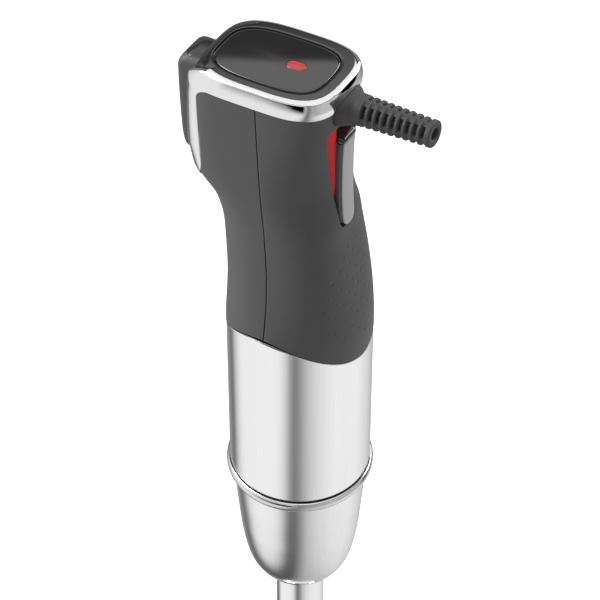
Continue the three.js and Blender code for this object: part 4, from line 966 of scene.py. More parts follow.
# ---------------------------------------------------------------- head: gloss panel and window
# A gloss black cap of ABS over the head, polished after moulding. Its front runs down over the edge
# between the trim's legs. A thin crowned window sits in a pocket on top, with a groove round it.
PANEL_DEPTH = 2.8
# The rim's width at the front, the sides and the back, and the groove between rim and window.
RIM, GROOVE = (2.7, 4.7, 5.7), 0.6
POCKET_DEPTH = 1.62


def plan_point(phi, insets, depth, share=1.0):
    """A point on or under the head's top plane, inset from the form at the front, sides and back."""
    top = np.full_like(phi, HEAD_TOP)
    front, back, half, front_square, back_square, seam = section_at(top)
    c, s = np.cos(phi), np.sin(phi)
    reach = np.where(c < 0, front + seam - insets[0], back - seam - insets[2])
    square = np.where(c < 0, front_square, back_square)
    radius = ((np.abs(c) / reach) ** square + (np.abs(s) / (half - insets[1])) ** square) ** (-1 / square)
    x = seam + share * radius * c
    return np.stack([x, share * radius * s, HEAD_TOP - depth + TILT * x], axis=-1)


# The lip's clearance from the trim, up to this height and at the top.
LIP_GAP_LEVEL, LIP_GAPS = 209.0, (0.95, 0.45)


def lip_half(height):
    """Half width of the front lip at a height."""
    seam = np.interp(height, LIP_SEAM[::-1, 1], LIP_SEAM[::-1, 0])
    return seam - np.interp(height, [LIP_GAP_LEVEL, HEAD_TOP], LIP_GAPS)


lip_shares = np.sin(np.linspace(-math.pi / 2, math.pi / 2, 33))
lip_end = float(phi_at_y(lip_half(HEAD_TOP), np.array(HEAD_TOP)))
around = np.linspace(-lip_end, lip_end, 151)


def lip_phi(height):
    """Angles of points across the front lip at a height."""
    side = phi_at_y(np.abs(lip_shares) * lip_half(height), np.full(len(lip_shares), height))
    return np.where(lip_shares > 0, side, 2 * math.pi - side)


all_phi = np.concatenate([around, lip_phi(HEAD_TOP)[::-1]])
# From the underside up to the top's edge: inset and depth at the sides, height and reach at the lip.
side_wall = [
    (0.9, 2.8), (0.6, 2.5), (0.6, 1.9), (0.6, 1.3), (0.6, 0.8), (0.6, 0.5), (0.63, 0.3), (0.72, 0.13),
    (0.86, 0.03), (1.05, 0.0), (1.3, 0.0), (1.6, 0.0),
]
lip_wall = [
    (203.9, -1.8), (203.9, -0.25), (204.1, 0.0), (204.7, 0.0), (205.4, 0.0), (206.2, 0.0), (207.0, 0.0),
    (207.8, 0.0), (208.6, 0.0), (209.3, -0.03), (209.9, -0.12), (210.35, -0.35),
]
rings = [plan_point(all_phi, (9, 9, 9), PANEL_DEPTH)]
for (inset, depth), (level, out) in zip(side_wall, lip_wall):
    side = plan_point(around, (inset,) * 3, depth)
    lip = form(lip_phi(level)[::-1], level, out)
    rings.append(np.concatenate([side, lip]))


def rim_insets(share):
    """Insets between the top's edge and the inner edge of the rim."""
    start = side_wall[-1][0]
    return tuple(start + (rim - start) * share for rim in RIM)


# The rim on top, and then the pocket inside it.
for share, depth in [(0.35, 0.0), (0.7, 0.0), (0.96, 0.0), (0.992, 0.012), (1.0, 0.05)]:
    rings.append(plan_point(all_phi, rim_insets(share), depth))
for further in (0.0, 7.0):
    rings.append(plan_point(all_phi, tuple(rim + further for rim in RIM), POCKET_DEPTH))
panel = stack("gloss_top_panel", rings, 40)

LENS_X, LENS_HALF, LENS_STRAIGHT, LENS_GAP = -1.5, 2.4, 1.6, 0.12
CROWN, WINDOW_SUNK = 0.3, 0.1


def crown_at(share):
    """Height of the window over the head's top plane, from its middle (0) to its edge (1)."""
    return -WINDOW_SUNK + CROWN * (1 - share**2)


def pill(half):
    """The lens's outline, in X and Y."""
    path = []
    steps = 16
    for side in (1, -1):
        for k in range(steps + 1):
            angle = math.pi * (k / steps - 0.5)
            x, y = LENS_STRAIGHT + half * math.cos(angle), half * math.sin(angle)
            path.append((side * x, side * y))
    return [(LENS_X + x, y) for x, y in path]


all_round = np.linspace(0, 2 * math.pi, 200, endpoint=False)
window_insets = tuple(rim + GROOVE for rim in RIM)
# From the underside up the wall and over the crown: depth and share of the full outline.
window_wall = [(1.3, 0.9), (1.3, 1.0), (0.5, 1.0), (0.32, 0.998), (0.2, 0.99)]
window_wall += [
    (-crown_at(share), share)
    for share in [0.975, 0.95, 0.9, 0.84, 0.77, 0.69, 0.6, 0.5, 0.4, 0.3, 0.2, 0.1, 0.02]
]
rings = [plan_point(all_round, window_insets, depth, share) for depth, share in window_wall]
window = stack("crowned_window", rings, 40)
lens_hole = pill(LENS_HALF + LENS_GAP)
cut(window, prism("lens_hole", lens_hole, HEAD_TOP - 4, HEAD_TOP + 4, "Z"))
cut(panel, prism("lens_hole_below", lens_hole, HEAD_TOP - 6, HEAD_TOP + 4, "Z"))

# The indicator is a small domed pill of tinted acrylic, pressed in from below.
rings = []
lens_top = HEAD_TOP + TILT * LENS_X + CROWN - WINDOW_SUNK
for inset, level in [
    (0.2, -2.7), (0.0, -2.5), (0.0, -0.25), (0.06, -0.1), (0.25, 0.02), (0.6, 0.12), (1.0, 0.19), (1.5, 0.24),
    (2.0, 0.27), (2.3, 0.28),
]:
    rings.append([(x, y, lens_top + level + TILT * (x - LENS_X)) for x, y in pill(LENS_HALF - inset)])
indicator = stack("domed_indicator", rings, 40)


def lacquered(name, color, roughness, level):
    """Polished moulded plastic, with a very faint moulding haze."""
    material = moulded(name, color, roughness, 900.0, 0.08, 0.03, 0.01, 0.00002)
    surface = material.node_tree.nodes["Principled BSDF"]
    surface.inputs["Specular IOR Level"].default_value = level
    return material


gloss_black = lacquered("gloss_black_panel", (0.018, 0.018, 0.019), 0.06, 0.95)
indicator_red = lacquered("tinted_indicator", (0.44, 0.045, 0.055), 0.14, 0.5)
fit(panel, "motor_unit", "gloss_black", gloss_black, "top_panel")
fit(window, "motor_unit", "gloss_black", gloss_black, "panel_window")
fit(indicator, "motor_unit", "indicator_red", indicator_red, "indicator_lens")

# ---------------------------------------------------------------- head: cord strain relief
# One soft rubbery moulding: a root held in the head, a short taper and ten rings with four deep
# notches between neighbours, so that it bends evenly. The cord would leave by its bore.
OUTLET_UP = HEAD_TOP - 10.5
OUTLET_START, OUTLET_RINGS, OUTLET_END = 14.5, 26.9, 57.65
PITCH = (OUTLET_END - OUTLET_RINGS) / 10
RING_RADIUS, RING_TAPER = 6.25, 0.85
END_ROUND = 0.6


def along_outlet(run, across, up):
    """Places a point by its run along the outlet, which leans with the head's top."""
    c, s = math.cos(TILT_ANGLE), math.sin(TILT_ANGLE)
    return np.stack([run * c - up * s, across, OUTLET_UP + run * s + up * c], axis=-1)


ROUND_STEPS = 120
round_angle = np.linspace(0, 2 * math.pi, ROUND_STEPS, endpoint=False)
# The runs at which rings of points lie, closest where the surface is ringed and at the end.
runs = np.concatenate([
    np.linspace(OUTLET_START, 26, 24), np.arange(26.1, OUTLET_END - 0.7, 0.11),
    OUTLET_END - np.array([END_ROUND, 0.42, 0.25, 0.12, 0.03, 0.0]),
])
run, turn = np.meshgrid(runs, round_angle, indexing="ij")
taper = np.clip((run - OUTLET_RINGS) / (OUTLET_END - OUTLET_RINGS), 0, 1)
plain_radius = RING_RADIUS - RING_TAPER * taper
# The root is wide and flat where it leaves the head and round where the rings start.
ROOT_WIDE, ROOT_TALL, ROOT_SQUARE = 9.0, 5.5, 3.6
ROOT_END, ROOT_FADE = OUTLET_RINGS - 1.2, 4.6
root = np.clip((ROOT_END - run) / ROOT_FADE, 0, 1)
root = root * root * (3 - 2 * root)
wide = plain_radius + (ROOT_WIDE - RING_RADIUS) * root
tall = plain_radius - (RING_RADIUS - ROOT_TALL) * root
square = 2 + (ROOT_SQUARE - 2) * root
radius = ((np.abs(np.cos(turn)) / wide) ** square + (np.abs(np.sin(turn)) / tall) ** square) ** (-1 / square)
# Between rings the surface dips, and four deep notches lie round each dip.
DIP_DEPTH, DIP_HALF, NOTCH_DEPTH, NOTCH_HALF = 0.75, 1.15, 2.6, 0.74
NOTCH_TURN, NOTCH_REACH = math.radians(59), math.radians(29)
phase = (run - OUTLET_RINGS) / PITCH
in_rings = np.clip((run - OUTLET_RINGS - 0.8) / 0.8, 0, 1) * np.clip((OUTLET_END - 1.6 - run) / 0.5, 0, 1)
valley = np.abs(phase - np.round(phase)) * PITCH
dip = DIP_DEPTH * np.clip(1 - (valley / DIP_HALF) ** 2, 0, 1) ** 0.8
from_notch = np.abs((turn - NOTCH_TURN + math.pi / 4) % (math.pi / 2) - math.pi / 4)
in_notch = np.clip((NOTCH_REACH - from_notch) / math.radians(5), 0, 1)
notch = NOTCH_DEPTH * np.clip((NOTCH_HALF - valley) / 0.14, 0, 1) * in_notch
radius = radius - in_rings * np.maximum(dip, notch)
close = np.clip((run - (OUTLET_END - END_ROUND)) / END_ROUND, 0, 1)
radius = radius - END_ROUND * (1 - np.sqrt(np.clip(1 - close**2, 0, 1)))
loops = list(along_outlet(run, radius * np.cos(turn), radius * np.sin(turn)))
# The bore: a narrow mouth, wider further in, as (distance from the end, radius).
for from_end, bore in [
    (0.0, 2.95), (0.1, 2.75), (0.4, 2.6), (3.0, 2.6), (3.4, 3.6), (OUTLET_END - OUTLET_START, 3.6),
]:
    at = np.full_like(round_angle, OUTLET_END - from_end)
    loops.append(along_outlet(at, bore * np.cos(round_angle), bore * np.sin(round_angle)))
relief = body_from(
    "strain_relief_moulded", [tuple(point) for loop in loops for point in loop],
    loops_to_faces(len(loops), ROUND_STEPS, round_loops=True), 50,
)
rubbery = moulded("rubbery_strain_relief", (0.045, 0.045, 0.046), 0.6, 2600.0, 0.1, 0.08, 0.15)
fit(relief, "motor_unit", "soft_touch_grey", rubbery, "strain_relief")


def outlet_cutter(gap):
    """The hole for the root, through the grip's back."""
    c, s = np.cos(round_angle), np.sin(round_angle)
    reach = (np.abs(c) / (ROOT_WIDE + gap)) ** ROOT_SQUARE + (np.abs(s) / (ROOT_TALL + gap)) ** ROOT_SQUARE
    across, up = c * reach ** (-1 / ROOT_SQUARE), s * reach ** (-1 / ROOT_SQUARE)
    ends = [along_outlet(np.full_like(up, run), across, up) for run in (8, 40)]
    return stack("outlet_hole", ends)


cut(back_shell, outlet_cutter(0.2))
cut(trim, outlet_cutter(0.25), crease=50)

# ---------------------------------------------------------------- head: thumb button
# A long moulded button on the front of the head: a matt dark body with crowned front and round
# edges, and a gloss cap on its top.
BUTTON_LOW, BUTTON_TOP, CAP_LINE = 157.4, 203.3, 202.0
BUTTON_HALF, BUTTON_FILLET, BUTTON_INNER = 9.1, 6.2, 30
FILLET_START = BUTTON_TOP - BUTTON_FILLET
# The front's line from the side, as (height, reach).
button_front = smooth_line([
    (BUTTON_LOW, 44.0), (158.2, 46.4), (159.9, 47.9), (164.0, 48.8), (172.0, 49.3), (180.0, 49.6),
    (190.0, 49.8), (200.0, 49.85), (204.0, 49.85),
], 8)


def button_ring(height, inset):
    """The button's outline at a height, drawn in from its full size."""
    reach = float(np.interp(height, *np.array(button_front).T)) - inset
    half = BUTTON_HALF - inset
    corner = min(max(2.8 + 0.3 * inset, 0.8), half - 0.3)
    path = rounded([
        (-BUTTON_INNER, -half, 0), (-reach, -half, corner), (-reach, half, corner), (-BUTTON_INNER, half, 0),
    ], False)
    middle = len(path) // 2
    start, end = path[middle - 1], path[middle]
    across = [(start[0], start[1] + (end[1] - start[1]) * k / 8) for k in range(1, 8)]
    path = path[:middle] + across + path[middle:]
    # The front is crowned a little from side to side.
    return [(x + 0.15 * (y / half) ** 2 if x < corner - reach else x, y, height) for x, y in path]


def fillet_inset(height):
    """How far the rounded upper edge has drawn in at a height."""
    rise = max(height - FILLET_START, 0)
    return BUTTON_FILLET - math.sqrt(max(BUTTON_FILLET**2 - rise**2, 0))


rings = [button_ring(height, inset) for height, inset in [
    (BUTTON_LOW, 1.6), (157.5, 1.0), (157.8, 0.5), (158.4, 0.15),
]]
rings += [button_ring(height, 0) for height in np.linspace(159.2, FILLET_START, 24)]
for height in (197.7, 198.4, 199.1, 199.8, 200.4, 201.0, 201.5, CAP_LINE - 0.12):
    rings.append(button_ring(height, fillet_inset(height)))
# A fine line parts body and cap.
line_inset = fillet_inset(CAP_LINE)
rings.append(button_ring(CAP_LINE - 0.04, line_inset + 0.06))
button = stack("thumb_button_body", rings, 40)
rings = [button_ring(CAP_LINE - 0.03, line_inset + 0.1), button_ring(CAP_LINE + 0.02, line_inset + 0.03)]
for height in (202.15, 202.3, 202.5, 202.7, 202.85, 203.0, 203.12, 203.22, 203.28):
    rings.append(button_ring(height, fillet_inset(height)))
cap = stack("thumb_button_cap", rings, 40)
button_grey = moulded("matt_button_body", (0.05, 0.05, 0.051), 0.5, 3600.0)
gloss_cap = lacquered("gloss_black_caps", (0.016, 0.016, 0.017), 0.15, 0.8)
fit(button, "button", "dark_plastic", button_grey, "thumb_button")
fit(cap, "button", "gloss_black", gloss_cap, "button_cap")
# The front shell is cut open for the button from below it up through the head.
OPENING_HALF, OPENING_LOW, OPENING_HIGH = 9.5, 157.0, 230
opening = prism("button_opening", [
    (-OPENING_HALF, OPENING_LOW), (OPENING_HALF, OPENING_LOW), (OPENING_HALF, OPENING_HIGH),
    (-OPENING_HALF, OPENING_HIGH),
], -80, -20)
cut(front_shell, opening)

# ---------------------------------------------------------------- grip: trigger
# A slim squeeze trigger in the grip's back, hinged at its lower end: a dark lever, a light grey face
# that stands just proud of the grip, a gloss cap on its upper end and a red skirt in the slot.
FACE_HALF, FACE_SKIN, LEVER_HALF = 4.2, 0.45, 5.2
FACE_TOP, TRIGGER_LOW, END_LENGTH = 185.3, 142.9, 5.4


def back_at(across, level, out=0.0):
    """Reach of the grip's back at a place across it and a height above the joint."""
    across, level = np.broadcast_arrays(np.asarray(across, float), np.asarray(level, float))
    # Reach and height hang on each other where the head leans, so both are found in turns.
    reach = np.full(across.shape, 20.5)
    for _ in range(8):
        height = level
        for _ in range(4):
            height = level - head_lean(height) * reach
        _, back, half, _, square, seam = section_at(height)
        share = np.clip(np.abs(across) / (half + out), 0, 0.98)
        reach = seam + (back - seam + out) * (1 - share**square) ** (1 / square)
    return reach


def end_half(half, level, low=TRIGGER_LOW):
    """Half width, closing round at the lower end."""
    share = np.clip((low + END_LENGTH - level) / END_LENGTH, 0, 1)
    return half * (1 - share**2.2) ** (1 / 2.2) + 0.02


def closing_levels(low, steps, rest):
    """Heights that crowd towards a round lower end, and go on evenly above it."""
    return list(low + 6 * (1 - np.cos(np.linspace(0, math.pi / 2, steps)))) + list(np.linspace(*rest))


def face_at(level):
    """Outer reach of the trigger's face: just proud of the grip, and straight above."""
    flare = 0.5 * min(max((level - 172) / 13, 0), 1) ** 2
    return max(21.6, float(back_at(0, max(level, TRIGGER_LOW))) + 0.55) + flare


# The face: a thin skin with rounded edges, slightly crowned, drawn in at both ends.
FACE_END, FACE_CROWN = 0.35, 0.12
rings = []
for level in closing_levels(TRIGGER_LOW, 12, (148.5, 184.4, 26)) + [184.8, 185.1, FACE_TOP]:
    half = float(end_half(FACE_HALF, level))
    foot = math.sqrt(min((level - TRIGGER_LOW + 0.05) / 1.2, 1))
    drawn_in = FACE_END * max((level - 184.4) / 0.9, 0) ** 2
    face = face_at(level) - FACE_END * (1 - foot) - drawn_in
    under = face_at(level) - FACE_SKIN - drawn_in
    edge = min(0.42, 0.45 * half)
    ring = [(under, -half), (under, half)]
    for side in (1, -1):
        for k in range(6):
            angle = math.pi / 2 * (k / 5 if side > 0 else 1 - k / 5)
            y = half - edge + edge * math.cos(angle)
            x = face - edge + edge * math.sin(angle) - FACE_CROWN * (y / FACE_HALF) ** 2
            ring.append((max(x, under + 0.01), side * y))
    rings.append([(x, y, level) for x, y in ring])
face_piece = stack("trigger_face_moulded", rings, 40)

# The lever fills the slot's narrow lower end and stops just below the cap.
LEVER_FRONT = 11.9
rings = []
lever_low = SLOT_LOW + 0.05
for level in closing_levels(lever_low, 10, (150, 185.0, 24)) + [185.2]:
    half = min(float(end_half(LEVER_HALF, level, lever_low)), max(float(slot_half(level)) - 0.15, 0.05))
    front = LEVER_FRONT + 3 * (1 - math.sqrt(min((level - lever_low) / 3, 1)))
    back = face_at(level) - FACE_SKIN - 0.04
    near = min(0.9, 0.3 * half)
    ring = rounded([
        (front, -half, 0.4), (back - near, -half, 0.3), (back, near - half, 0.3), (back, half - near, 0.3),
        (back - near, half, 0.3), (front, half, 0.4),
    ])
    rings.append([(x, y, level) for x, y in ring])
lever = stack("trigger_lever_moulded", rings, 40)

# The cap's top slopes down to the back.
CAP_FRONT, CAP_SLOPE = 13.4, 0.2
rings = []
for level, inset in [
    (185.5, 0.25), (185.6, 0.05), (185.9, 0.0), (186.4, 0.0), (186.9, 0.06), (187.2, 0.22), (187.4, 0.5),
    (187.46, 0.9), (187.5, 1.6),
]:
    half = LEVER_HALF - 0.1 - inset
    back = face_at(185) - inset
    front = CAP_FRONT + inset
    ring = rounded([
        (front, -half, 0.6), (back - 1.6, -half, 0.7), (back, 0.5 - half, 0.8), (back, half - 0.5, 0.8),
        (back - 1.6, half, 0.7), (front, half, 0.6),
    ])
    slope = CAP_SLOPE * min(max((level - 185.9) / 1.2, 0), 1)
    rings.append([(x, y, level + slope * min(22.1 - x, 4.2)) for x, y in ring])
trigger_cap = stack("trigger_cap_gloss", rings, 40)

# The skirt fills the slot round the lever: a wall on each side with a rolled outer edge, and a
# channel between them for the lever. Below, where the slot narrows, it sinks and closes.
CHANNEL_HALF, CHANNEL_FLOOR, SKIRT_FRONT, SKIRT_UNDER = 5.5, 11.5, 10.0, -1.0
ROLL_DROPS, PATH_POINTS = [0.9, 0.55, 0.25, 0.06] + [0] * 5, 12
skirt_levels = np.concatenate([
    SLOT_LOW + np.array([0.02, 0.3, 0.8, 1.6, 2.6]), np.linspace(146.9, 187.5, 34),
    SLOT_HIGH - np.array([4.8, 3.6, 2.6, 1.8, 1.1, 0.5, 0.15, 0.02]),
])
rings = []
for level in skirt_levels:
    width = float(slot_half(level))
    room = width - CHANNEL_HALF
    path = [(SKIRT_FRONT, width)]
    if room < 0.2:
        path += [
            (float(back_at(width, level)) - 3.0, width), (CHANNEL_FLOOR, max(width - 0.4, 0.01)),
        ]
    else:
        roll_width = min(1.1, 0.5 * room)
        spots = [width - roll_width * part for part in (0, 0.11, 0.41, 1)]
        spots += list(np.linspace(spots[-1], CHANNEL_HALF + 0.05, 6))[1:]
        sink = 1.6 * min(max((166 - level) / 12, 0), 1) ** 2
        for y, drop in zip(spots, ROLL_DROPS):
            path.append((float(back_at(y, level, SKIRT_UNDER)) - drop - sink, y))
        lip = float(back_at(CHANNEL_HALF, level, SKIRT_UNDER)) - 0.3 - sink
        path += [(lip, CHANNEL_HALF), (CHANNEL_FLOOR, CHANNEL_HALF)]
    # A short path gets its second point again, as every ring needs the same count.
    path[1:1] = [path[1]] * (PATH_POINTS - len(path))
    ring = path + [(x, -y) for x, y in reversed(path)]
    rings.append([(x, y, level) for x, y in ring])
skirt = stack("trigger_skirt_red", rings, 40)
light_grey = moulded("light_grey_trigger_face", (0.33, 0.33, 0.33), 0.38, 3000.0, 0.06, 0.06, 0.06)
dark_lever = moulded("dark_trigger_lever", (0.06, 0.06, 0.061), 0.45)
red_skirt = moulded("red_trigger_skirt", (0.6, 0.01, 0.02), 0.5, 3200.0, 0.08, 0.06, 0.06)
red_skirt.node_tree.nodes["Principled BSDF"].inputs["Specular IOR Level"].default_value = 0.2
fit(face_piece, "trigger", "light_grey_plastic", light_grey, "trigger_face")
fit(lever, "trigger", "dark_plastic", dark_lever, "trigger_lever")
fit(trigger_cap, "trigger", "gloss_black", gloss_cap, "trigger_cap")
fit(skirt, "trigger", "red_plastic", red_skirt, "trigger_skirt")

# ---------------------------------------------------------------- leg: bell guard
# The bell round the blade is deep drawn from the same steel as the neck, with four arched windows
# that let food through and a rim rolled smooth. Its own short neck is welded on the drive tube.
BELL, BELL_WALL, BELL_TOP, BELL_END, SKIRT_TOP, FOOT = 34.0, 1.2, 38.0, 47, 10.64, 11.9
RIM_LEVEL = -215.0


def bell_line(inset):
    """The bell's dome from the skirt to the foot of its neck, as (radius, level)."""
    foot = FOOT - inset + 1
    wide, tall = BELL - inset - foot, BELL_TOP - inset - SKIRT_TOP
    angles = np.linspace(0, math.radians(84), 26)
    return [(foot + wide * math.cos(a) ** 0.9, SKIRT_TOP + tall * math.sin(a)) for a in angles]


RIM_ROUND = BELL_WALL / 2
bell_profile = [
    (BELL - RIM_ROUND + RIM_ROUND * math.sin(a), RIM_ROUND - RIM_ROUND * math.cos(a))
    for a in np.linspace(-math.pi / 2, math.pi / 2, 12)
] + bell_line(0)
bell_profile += [
    (FOOT + 0.25, BELL_TOP + 0.3), (FOOT, BELL_TOP + 1.2), (FOOT, BELL_END - 0.7),
    (FOOT - 0.2, BELL_END - 0.2), (FOOT - 1.0, BELL_END), (FOOT - BELL_WALL, BELL_END - 0.3),
    (FOOT - BELL_WALL, BELL_TOP - 1.6),
] + bell_line(BELL_WALL)[::-1]
bell = turn_piece("bell_guard_drawn", [(radius, RIM_LEVEL + level) for radius, level in bell_profile], 192)
ARCH_HALF, ARCH_LOW = 7.5, 7
arch = rounded([
    (-ARCH_HALF, ARCH_LOW, 1.6), (ARCH_HALF, ARCH_LOW, 1.6), (ARCH_HALF, 14.6, 0), (7.2, 17, 3),
    (5, 20.2, 4), (0, 20.9, 0), (-5, 20.2, 4), (-7.2, 17, 3), (-ARCH_HALF, 14.6, 0),
])
arch = [(u, RIM_LEVEL + v) for u, v in arch]
for axis in "XY":
    for low, high in [(17, 60), (-60, -17)]:
        cut(bell, prism("bell_window", arch, low, high, axis))
fit(bell, "blending_leg", "brushed_steel", brushed_steel, "bell_guard")

# ---------------------------------------------------------------- leg: blade, hub and nut
# The blade is a stamped and ground stainless strip, one wing bent up and one down, with a bevel
# ground along its edges. A plastic hub spaces it from the bush and a hexagon nut holds it.
BLADE_LEVEL, BLADE_HALF, BLADE_REACH, HUB = RIM_LEVEL + 12.6, 0.6, 24.0, 5.2
SHAFT_HOLE = 3.35


def wing(bend, turn):
    """Half of the blade, as rings from the hub to the tip, bent up or down where it leaves the hub."""
    rings = []
    for t in np.linspace(0, 1, 22):
        reach = HUB - 1.2 + (BLADE_REACH - HUB + 1.2) * t
        share = (reach - HUB) / (BLADE_REACH - HUB)
        lead = -HUB * (1 - t) ** 0.9 - 1.6 * t * (1 - t) - 1.2 * t
        trail = HUB - 0.9 * t - 2.2 * t**4
        bevel = 1.5 * min(1, 0.2 + t * 4)
        thick = BLADE_HALF if t < 0.96 else BLADE_HALF * 0.75
        ring = [
            (lead, 0.04), (lead + bevel, thick), (trail - bevel * 0.5, thick), (trail, 0.08),
            (trail, -0.08), (trail - bevel * 0.5, -thick), (lead + bevel, -thick), (lead, -0.04),
        ]
        lift = math.tan(math.radians(bend)) * max(share, 0) * (BLADE_REACH - HUB)
        c, s = math.cos(turn), math.sin(turn)
        rings.append([(reach * c - y * s, reach * s + y * c, BLADE_LEVEL + lift + z) for y, z in ring])
    return rings


blade = stack("blade_ground", wing(14.5, math.pi / 2), 30)
cut(blade, stack("other_wing", wing(-7.2, -math.pi / 2), 30), "UNION", 30)
disc_profile = [
    (SHAFT_HOLE, -0.58), (5.7, -0.58), (5.85, -0.45), (5.85, 0.45), (5.7, 0.58), (SHAFT_HOLE, 0.58),
]
disc = turn_piece("blade_disc", [(radius, BLADE_LEVEL + level) for radius, level in disc_profile], 64)
cut(blade, disc, "UNION", 30)
hub_low, hub_high = RIM_LEVEL + 13.5, RIM_LEVEL + 20.5
hub = turn_piece("blade_hub_turned", rounded([
    (SHAFT_HOLE, hub_low, 0.2), (HUB, hub_low, 0.5), (HUB, hub_high, 0.7), (SHAFT_HOLE, hub_high, 0.2),
]), 64)


def hexagon_ring(radius, level):
    """The nut's outline at a level."""
    return [(radius * math.cos(k * math.pi / 3), radius * math.sin(k * math.pi / 3), level) for k in range(6)]


# The nut is closed below by a low dome and bored from above.
nut_low, nut_high = RIM_LEVEL + 8.1, RIM_LEVEL + 11.7
NEAR_AXIS, DOME_RADIUS, DOME_TALL, NUT_BORE = 0.02, 3.1, 0.9, 3.3
nut = stack("blade_nut_domed", [
    hexagon_ring(radius, nut_low + level) for radius, level in
    [(3.2, 0.0), (4.2, 0.18), (4.6, 0.6), (4.6, 3.1), (4.35, 3.5), (3.6, 3.6)]
], 25)
dome = turn_piece("nut_dome", [(NEAR_AXIS, nut_low + 0.02)] + [
    (DOME_RADIUS * math.cos(a), nut_low + 0.02 + DOME_TALL * (1 - math.sin(a)))
    for a in np.linspace(math.pi / 2, 0, 8)
] + [(DOME_RADIUS, nut_low + 2), (NEAR_AXIS, nut_low + 2)], 48)
cut(nut, dome, "UNION", 25)
bore_low, bore_high = nut_low + 1.6, nut_high + 2
bore = turn_piece("nut_bore", [
    (NEAR_AXIS, bore_low), (NUT_BORE, bore_low), (NUT_BORE, bore_high), (NEAR_AXIS, bore_high),
], 48)
cut(nut, bore, crease=25)
ground_steel = metal("ground_blade_steel", (0.76, 0.76, 0.77), 0.18, 0.6, 1.0, 1600.0, 0.12, 0.08)
hub_plastic = moulded("dark_hub_plastic", (0.03, 0.03, 0.031), 0.45)
fit(blade, "blade_shaft", "polished_steel", ground_steel, "blade")
fit(nut, "blade_shaft", "polished_steel", ground_steel, "blade_nut")
fit(hub, "blade_shaft", "dark_plastic", hub_plastic, "blade_hub")

# ---------------------------------------------------------------- leg and motor unit: the joint
# When the leg is off, its plastic collar and the socket that takes it show, with a dark ring in the
# bead's groove. All are in dark plastic, the collar and socket moulded with lead-in chamfers. The dark
# ring is painted shade: it darkens the groove where shade falls under the motor sleeve.
COLLAR_HOLE, COLLAR_FLOOR, COLLAR_LOW, COLLAR_TOP = 5.7, -6.0, -10.0, 16.0
leg_collar = turn_piece("leg_collar_moulded", rounded([
    (COLLAR_HOLE, COLLAR_LOW, 0.3), (26.2, COLLAR_LOW, 0.4), (26.6, COLLAR_FLOOR, 0.2),
    (24.2, COLLAR_FLOOR, 0.2), (24.2, 13.8, 0.3), (23.5, COLLAR_TOP, 0.5), (22.2, COLLAR_TOP, 0.4),
    (22.0, COLLAR_FLOOR, 0.8), (COLLAR_HOLE, COLLAR_FLOOR, 0.3),
]), 128, 34)
SOCKET_HOLE, SOCKET_LOW, SOCKET_WEB, SOCKET_TOP = 9.0, 0.8, 17.0, 20.0
leg_socket = turn_piece("leg_socket_moulded", rounded([
    (25.2, SOCKET_LOW, 0.3), (28.9, SOCKET_LOW, 0.3), (28.9, SOCKET_TOP, 0.3),
    (SOCKET_HOLE, SOCKET_TOP, 0.3), (SOCKET_HOLE, SOCKET_WEB, 0.4), (24.6, SOCKET_WEB, 0.6),
    (24.6, 2.2, 0.3),
]), 128, 34)
# A dark ring in the bead's groove: painted shade, where the groove lies under the sleeve's edge.
SHADE_RING_INNER, SHADE_RING_OUTER, SHADE_RING_LOW = 25.0, GROOVE_WALL - 0.05, GROOVE_FLOOR + 0.02
groove_shade_ring = turn_piece("groove_painted_shade", rounded([
    (SHADE_RING_INNER, SHADE_RING_LOW, 0.1), (SHADE_RING_OUTER, SHADE_RING_LOW, 0.1), (SHADE_RING_OUTER, -0.85, 0.35), (27.6, -0.75, 0.3),
    (27.2, -1.2, 0.2), (SHADE_RING_INNER, -1.2, 0.2),
]), 128, 34)
joint_plastic = moulded("glass_filled_joint", (0.035, 0.035, 0.036), 0.42, 2200.0, 0.16, 0.12, 0.1)
fit(leg_collar, "blending_leg", "dark_plastic", joint_plastic, "leg_collar")
fit(groove_shade_ring, "blending_leg", "dark_plastic", joint_plastic)
fit(leg_socket, "motor_unit", "dark_plastic", joint_plastic, "leg_socket")

# ---------------------------------------------------------------- inside: the CAD's own solids
# What the shells hide keeps its CAD solid, with the finish of what it is made of: wound copper,
# stacked steel sheet, brass, carbon, circuit board, natural nylon, black plastic and rubber.


def add_even_layers():
    """Even lines across the drive axis: copper wire laid turn on turn, or stacked sheet."""
    group, given, out = new_group(
        "even_layers",
        [("Color", COLOR, (0.5, 0.5, 0.5, 1)), ("Roughness", FLOAT, 0.4), ("Layers", FLOAT, 600.0),
         ("Tilt", FLOAT, 0.1), ("Depth", FLOAT, 0.3)],
        [("Color", COLOR), ("Roughness", FLOAT), ("Height", FLOAT)],
    )
    spot = node(group, "ShaderNodeTexCoord").outputs["Object"]
    split = node(group, "ShaderNodeSeparateXYZ")
    group.links.new(spot, split.inputs[0])
    slanted = maths(group, "MULTIPLY_ADD", split.outputs[0], given["Tilt"], split.outputs[2])
    per_metre = maths(group, "MULTIPLY", given["Layers"], 2 * math.pi)
    swing = maths(group, "SINE", maths(group, "MULTIPLY", slanted, per_metre))
    level = maths(group, "MULTIPLY_ADD", swing, 0.5, 0.5)
    stain = node(group, "ShaderNodeTexNoise")
    stain.inputs["Scale"].default_value = 120
    group.links.new(spot, stain.inputs["Vector"])
    patchy = maths(group, "MULTIPLY_ADD", stain.outputs[0], 0.3, 0.85)
    shade = maths(group, "MULTIPLY_ADD", maths(group, "SUBTRACT", level, 1), given["Depth"], patchy)
    group.links.new(tinted(group, given["Color"], shade), out["Color"])
    rough = maths(group, "MULTIPLY_ADD", stain.outputs[0], 0.15, given["Roughness"])
    group.links.new(rough, out["Roughness"])
    group.links.new(level, out["Height"])
    return group


even_layers = add_even_layers()


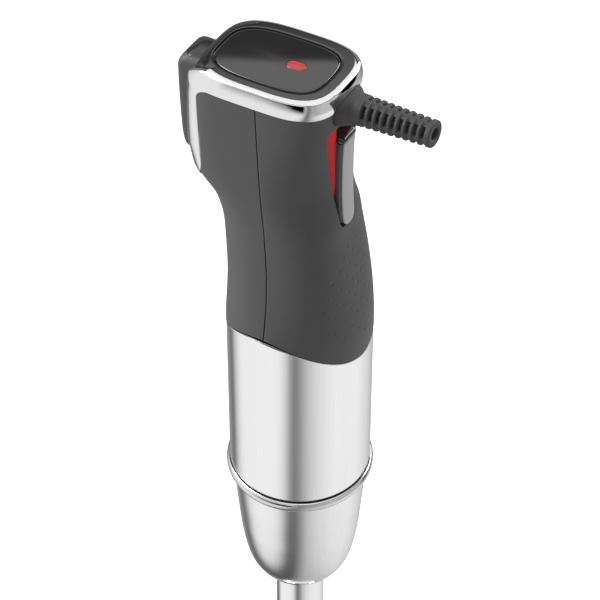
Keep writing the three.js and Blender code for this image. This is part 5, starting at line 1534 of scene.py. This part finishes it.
def layered(name, color, roughness, layers, tilt, depth, metallic, bump=0.4):
    """A finish with even layers, by how many there are to the metre."""
    material = bpy.data.materials.new(name)
    material.use_nodes = True
    surface = apply_group(material, even_layers, {
        "Color": (*color, 1), "Roughness": roughness, "Layers": layers, "Tilt": tilt, "Depth": depth,
    }, bump, 0.0002)
    surface.inputs["Metallic"].default_value = metallic
    return material


# The finish of each inside piece, by its slot; the commutator alone differs from its slot's finish.
finishes = {
    "polished_steel": metal("turned_steel", (0.72, 0.72, 0.73), 0.2, 1.0, 8.0, 700.0, 0.12),
    "light_grey_plastic": moulded("grey_film_case", (0.24, 0.24, 0.24), 0.45),
    "dark_plastic": moulded("black_nylon", (0.03, 0.03, 0.031), 0.5),
    "natural_plastic": moulded("natural_nylon", (0.66, 0.62, 0.54), 0.5, 1800.0, 0.1),
    "steel_laminations": layered("stacked_steel_sheet", (0.22, 0.23, 0.25), 0.45, 2000.0, 0.0, 0.45, 0.8),
    "copper": layered("enamelled_copper_wire", (0.46, 0.16, 0.05), 0.3, 1250.0, 0.25, 0.6, 0.9),
    "brass": metal("sintered_brass", (0.52, 0.36, 0.12), 0.38, 1.0, 1.0, 2600.0, 0.25, 0.1),
    "carbon": moulded("pressed_carbon", (0.02, 0.02, 0.021), 0.75, 5200.0, 0.4),
    "circuit_board": layered("green_circuit_board", (0.03, 0.15, 0.05), 0.4, 500.0, 1.0, 0.25, 0.0, 0.1),
    "seal_rubber": moulded("seal_rubber", (0.012, 0.012, 0.012), 0.6, 3000.0, 0.2),
}
commutator_copper = metal("commutator_bars", (0.5, 0.2, 0.08), 0.3, 1.0, 0.05, 500.0, 0.3, 0.1)
for entry in frame["record"]["subparts"]:
    node_name, slot_name = entry["node"], entry["material_slot"]
    if node_name not in fitted:
        solid = frame["nodes"][node_name].data
        solid.materials.clear()
        solid.materials.append(commutator_copper if node_name == "commutator" else finishes[slot_name])
        solid.shade_smooth()
        solid.set_sharp_from_angle(angle=math.radians(35))
